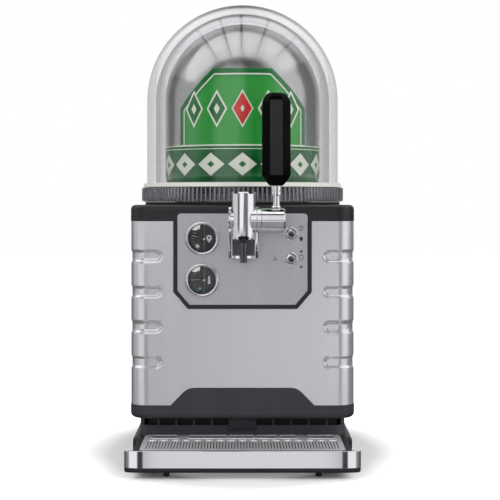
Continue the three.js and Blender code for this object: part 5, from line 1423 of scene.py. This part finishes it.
def make_stem():
    """The stem, with a collar on the sleeve and a two-ringed ferrule under the grip."""
    low, high = (corner[2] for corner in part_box("lever_stem"))
    seat, ferrule, end = PIVOT_Z + 0.0166, GRIP_LOW[2] - 0.0130, GRIP_LOW[2] - GAP
    profile = [
        (0, low), (STEM_RADIUS, low), (STEM_RADIUS, seat), (0.0066, seat), (0.0068, seat + 0.0012),
        (0.0062, seat + 0.0026), (STEM_RADIUS, seat + 0.0034), (0.0050, ferrule - 0.0006),
        (0.0058, ferrule), (FERRULE_RADIUS, ferrule + 0.0006), (FERRULE_RADIUS, ferrule + 0.0050),
        (FERRULE_NECK, ferrule + 0.0056), (FERRULE_NECK, ferrule + 0.0068),
        (FERRULE_RADIUS, ferrule + 0.0074), (FERRULE_RADIUS, end), (STEM_TANG, end),
        (STEM_TANG, high), (0, high),
    ]
    dress(turned("lever_stem_rod", profile, (STEM_X, TAP_Y, 0), steps=56), CHROME, "lever", "lever_stem")


def octagon(half_x, half_y, level):
    """An eight-sided section of the grip, its front and back facets broad."""
    facet_x, facet_y = half_x * FACET_SHARES[0], half_y * FACET_SHARES[1]
    right = [(half_x, -facet_y), (half_x, facet_y), (facet_x, half_y), (-facet_x, half_y)]
    return [(STEM_X + side * x, TAP_Y + side * y, level) for side in (1, -1) for x, y in right]


def make_grip():
    """The eight-sided black grip, drawn up from a narrow foot to a rounded crown."""
    half_x, half_y = (GRIP_HIGH[0] - GRIP_LOW[0]) / 2, (GRIP_HIGH[1] - GRIP_LOW[1]) / 2
    sections = [(x, y, GRIP_LOW[2] + rise) for x, y, rise in GRIP_FOOT]
    sections += [(x, y, GRIP_HIGH[2] - drop) for x, y, drop in GRIP_CROWN]
    piece = start("lever_grip_handle")
    foot_x, foot_y, foot = sections[0]
    draw(octagon(half_x * foot_x, half_y * foot_y, foot), closed=True)
    weld()
    bpy.ops.mesh.edge_face_add()
    for before, after in zip(sections, sections[1:]):
        stretch((0, 0, after[2] - before[2]))
        bpy.ops.transform.resize(
            value=(after[0] / before[0], after[1] / before[1], 1),
            center_override=(STEM_X, TAP_Y, after[2]),
        )
    close(piece)
    soften(piece, 0.0012, 3, 20)
    dress(piece, GRIP_BLACK, "lever", "lever_grip")
    # The broad facets' lighter black is painted light
    second_finish(piece, GRIP_SATIN_PAINTED_LIGHT, lambda face: abs(face.normal.y) > 0.95)


make_sleeve()
make_stem()
make_grip()


# Drip tray

TUB_LOW, TUB_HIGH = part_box("tray_tub")
FASCIA_LOW, FASCIA_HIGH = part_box("tray_fascia")
GRILLE_LOW, GRILLE_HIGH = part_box("drip_grille")
TUB_HALF = NECK_HIGH[0]
TUB_CORNER = 0.014
TUB_WALL = 0.0025
TUB_BOTTOM = PLINTH_LOW[2] + GAP
TRAY_FRONT = TUB_LOW[1]
BUMPER_DEPTH = 0.008
BUMPER_END = 0.026
PEG_INSET = 0.044
PEG_SETBACK = 0.027


def bumper_outline(inset):
    """The tray's front edge from above: straight, with ends that sweep back."""
    turn_x, turn_y = HALF_WIDTH - BUMPER_END, TRAY_FRONT + BUMPER_DEPTH
    radii = (BUMPER_END - inset, BUMPER_DEPTH - inset)
    return arc((-turn_x, turn_y), radii, 180, 270, 14) + arc((turn_x, turn_y), radii, 270, 360, 14)


def make_tub():
    """The black tray with its bumper, its round back corners and two pegs to stand on."""
    plan = ((-TUB_HALF, TRAY_FRONT + BUMPER_DEPTH), (TUB_HALF, TUB_HIGH[1]))
    tub = plate("tray_tub_moulding", [rounded(*plan, TUB_CORNER)], TUB_BOTTOM, PLINTH_HIGH[2] + 0.0017)
    inner = rounded(*plan, TUB_CORNER - TUB_WALL, inset=TUB_WALL)
    cut(tub, plate("hollow", [inner], TUB_BOTTOM + TUB_WALL, PLINTH_HIGH[2] + 0.0017 + OVERRUN))
    soften(tub, 0.0008, 2, 60)
    core = plate("tray_bumper_core", [bumper_outline(0.0018)], PLINTH_LOW[2], TUB_HIGH[2])
    lip = plate("tray_bumper_lip", [bumper_outline(0)], PLINTH_LOW[2], FASCIA_LOW[2] - GAP)
    round_rim(lip, PLINTH_LOW[2], 0.0030, 4, lambda point: True)
    for piece in (tub, core, lip):
        dress(piece, BLACK_ABS, "tray", "tray_tub")
    top = TUB_BOTTOM + 0.001
    profile = [(0, 0), (0.0034, 0), (0.0042, 0.0008), (0.0046, top), (0, top)]
    for side in (-1, 1):
        centre = (side * (TUB_HALF - PEG_INSET), TRAY_FRONT + PEG_SETBACK, 0)
        dress(turned(f"tray_peg_{side + 2}", profile, centre, steps=32), RUBBER, "tray", "tray_tub")


def make_fascia():
    """The bright steel strip that wraps the tray's front and its swept-back ends."""
    outline = bumper_outline(0) + bumper_outline(0.0015)[::-1]
    strip = plate("tray_fascia_strip", [outline], FASCIA_LOW[2], FASCIA_HIGH[2])
    soften(strip, 0.0005, 2, 60)
    dress(strip, FASCIA_STEEL, "tray", "tray_fascia")


FINE_PITCH = 0.0041
FINE_WIDTH = 0.0013
FINE_FRONT = GRILLE_LOW[1] + 0.017
FINE_BACK = FINE_FRONT + 0.064
GRILLE_HALF = GRILLE_HIGH[0]
GRILLE_SPAN = GRILLE_HALF - 0.0135
LONG_FRONT = TRAY_FRONT + 0.115
LONG_BACK = LONG_FRONT + 0.024
LONG_CORNER = 0.004
LONG_SLOT_SHARES = [
    (-0.885, -0.634), (-0.526, -0.145), (-0.124, 0.118), (0.139, 0.341), (0.362, 0.526), (0.641, 0.892),
]
HOLE_Y = TRAY_FRONT + 0.098
HOLE_PITCH = 0.0155
HOLE_RADIUS = 0.0052
RIM_RISE = 0.0008
RIM_WIDTH = 0.0018


def make_grille():
    """The pressed steel grille: fine slots in front, a row of holes and long openings behind."""
    low, face = GRILLE_LOW[2], GRILLE_HIGH[2] - RIM_RISE
    fine = [-GRILLE_SPAN + slot * FINE_PITCH for slot in range(int(2 * GRILLE_SPAN / FINE_PITCH) + 1)]
    rows = int(GRILLE_SPAN / HOLE_PITCH)
    holes = [(step * HOLE_PITCH, HOLE_Y) for step in range(-rows, rows + 1)]
    longs = [
        ((left * GRILLE_HALF, LONG_FRONT), (right * GRILLE_HALF, LONG_BACK))
        for left, right in LONG_SLOT_SHARES
    ]
    openings = [rounded((x, FINE_FRONT), (x + FINE_WIDTH, FINE_BACK), 0.0009, 2) for x in fine]
    openings += [circle(hole, HOLE_RADIUS, 20) for hole in holes]
    openings += [rounded(*slot, LONG_CORNER, 4) for slot in longs]
    edge = rounded(
        (-GRILLE_HALF + 0.006, GRILLE_LOW[1] + 0.002), (GRILLE_HALF - 0.006, GRILLE_HIGH[1] - 0.002), 0.009,
    )
    grille = plate("drip_grille_plate", [edge, *openings], low, face)
    dress(grille, GRILLE_STEEL, "grille", "drip_grille")
    outline = rounded((-GRILLE_HALF, GRILLE_LOW[1]), (GRILLE_HALF, GRILLE_HIGH[1]), 0.0115)
    dress(plate("drip_grille_border", [outline, edge], low, face), BLACK_ABS, "grille", "drip_grille")
    for number, slot in enumerate(longs, 1):
        rim = [rounded(*slot, LONG_CORNER + RIM_WIDTH, 4, -RIM_WIDTH), rounded(*slot, LONG_CORNER, 4)]
        lip = plate(f"drip_grille_rim_{number}", rim, face, GRILLE_HIGH[2])
        soften(lip, 0.0004, 2)
        dress(lip, RIM_STEEL, "grille", "drip_grille")
    profile = mm((5.2, 0), (6.8, 0), (6.4, 0.5), (5.8, 0.8), (5.2, 0.6))
    for number, hole in enumerate(holes, 1):
        collar = turned(f"drip_grille_collar_{number}", profile, (*hole, face), steps=24, closed=True)
        dress(collar, RIM_STEEL, "grille", "drip_grille")


make_tub()
make_fascia()
make_grille()


# Finishes of the CAD nodes that no piece replaces

NODE_FINISHES = {
    RUBBER: ["seat_ring"],
    POWDER: ["rear_panel"],
    GLOSS_BLACK: [
        "power_inlet", "keg_cap", "circulation_fan_frame", "circulation_fan", "condenser_fan_frame",
        "condenser_fan",
    ],
    WHITE: ["chamber_liner", "keg_cradle", "keg_coupler"],
    CHROME: ["valve_spindle"],
    HOSE: ["beer_line", "air_line"],
    FINS: ["evaporator", "condenser"],
    ENAMEL: ["compressor", "air_pump"],
    BOARD: ["control_board"],
}

for material, names in NODE_FINISHES.items():
    for name in names:
        mesh = bpy.data.objects[name].data
        mesh.materials.clear()
        mesh.materials.append(material)
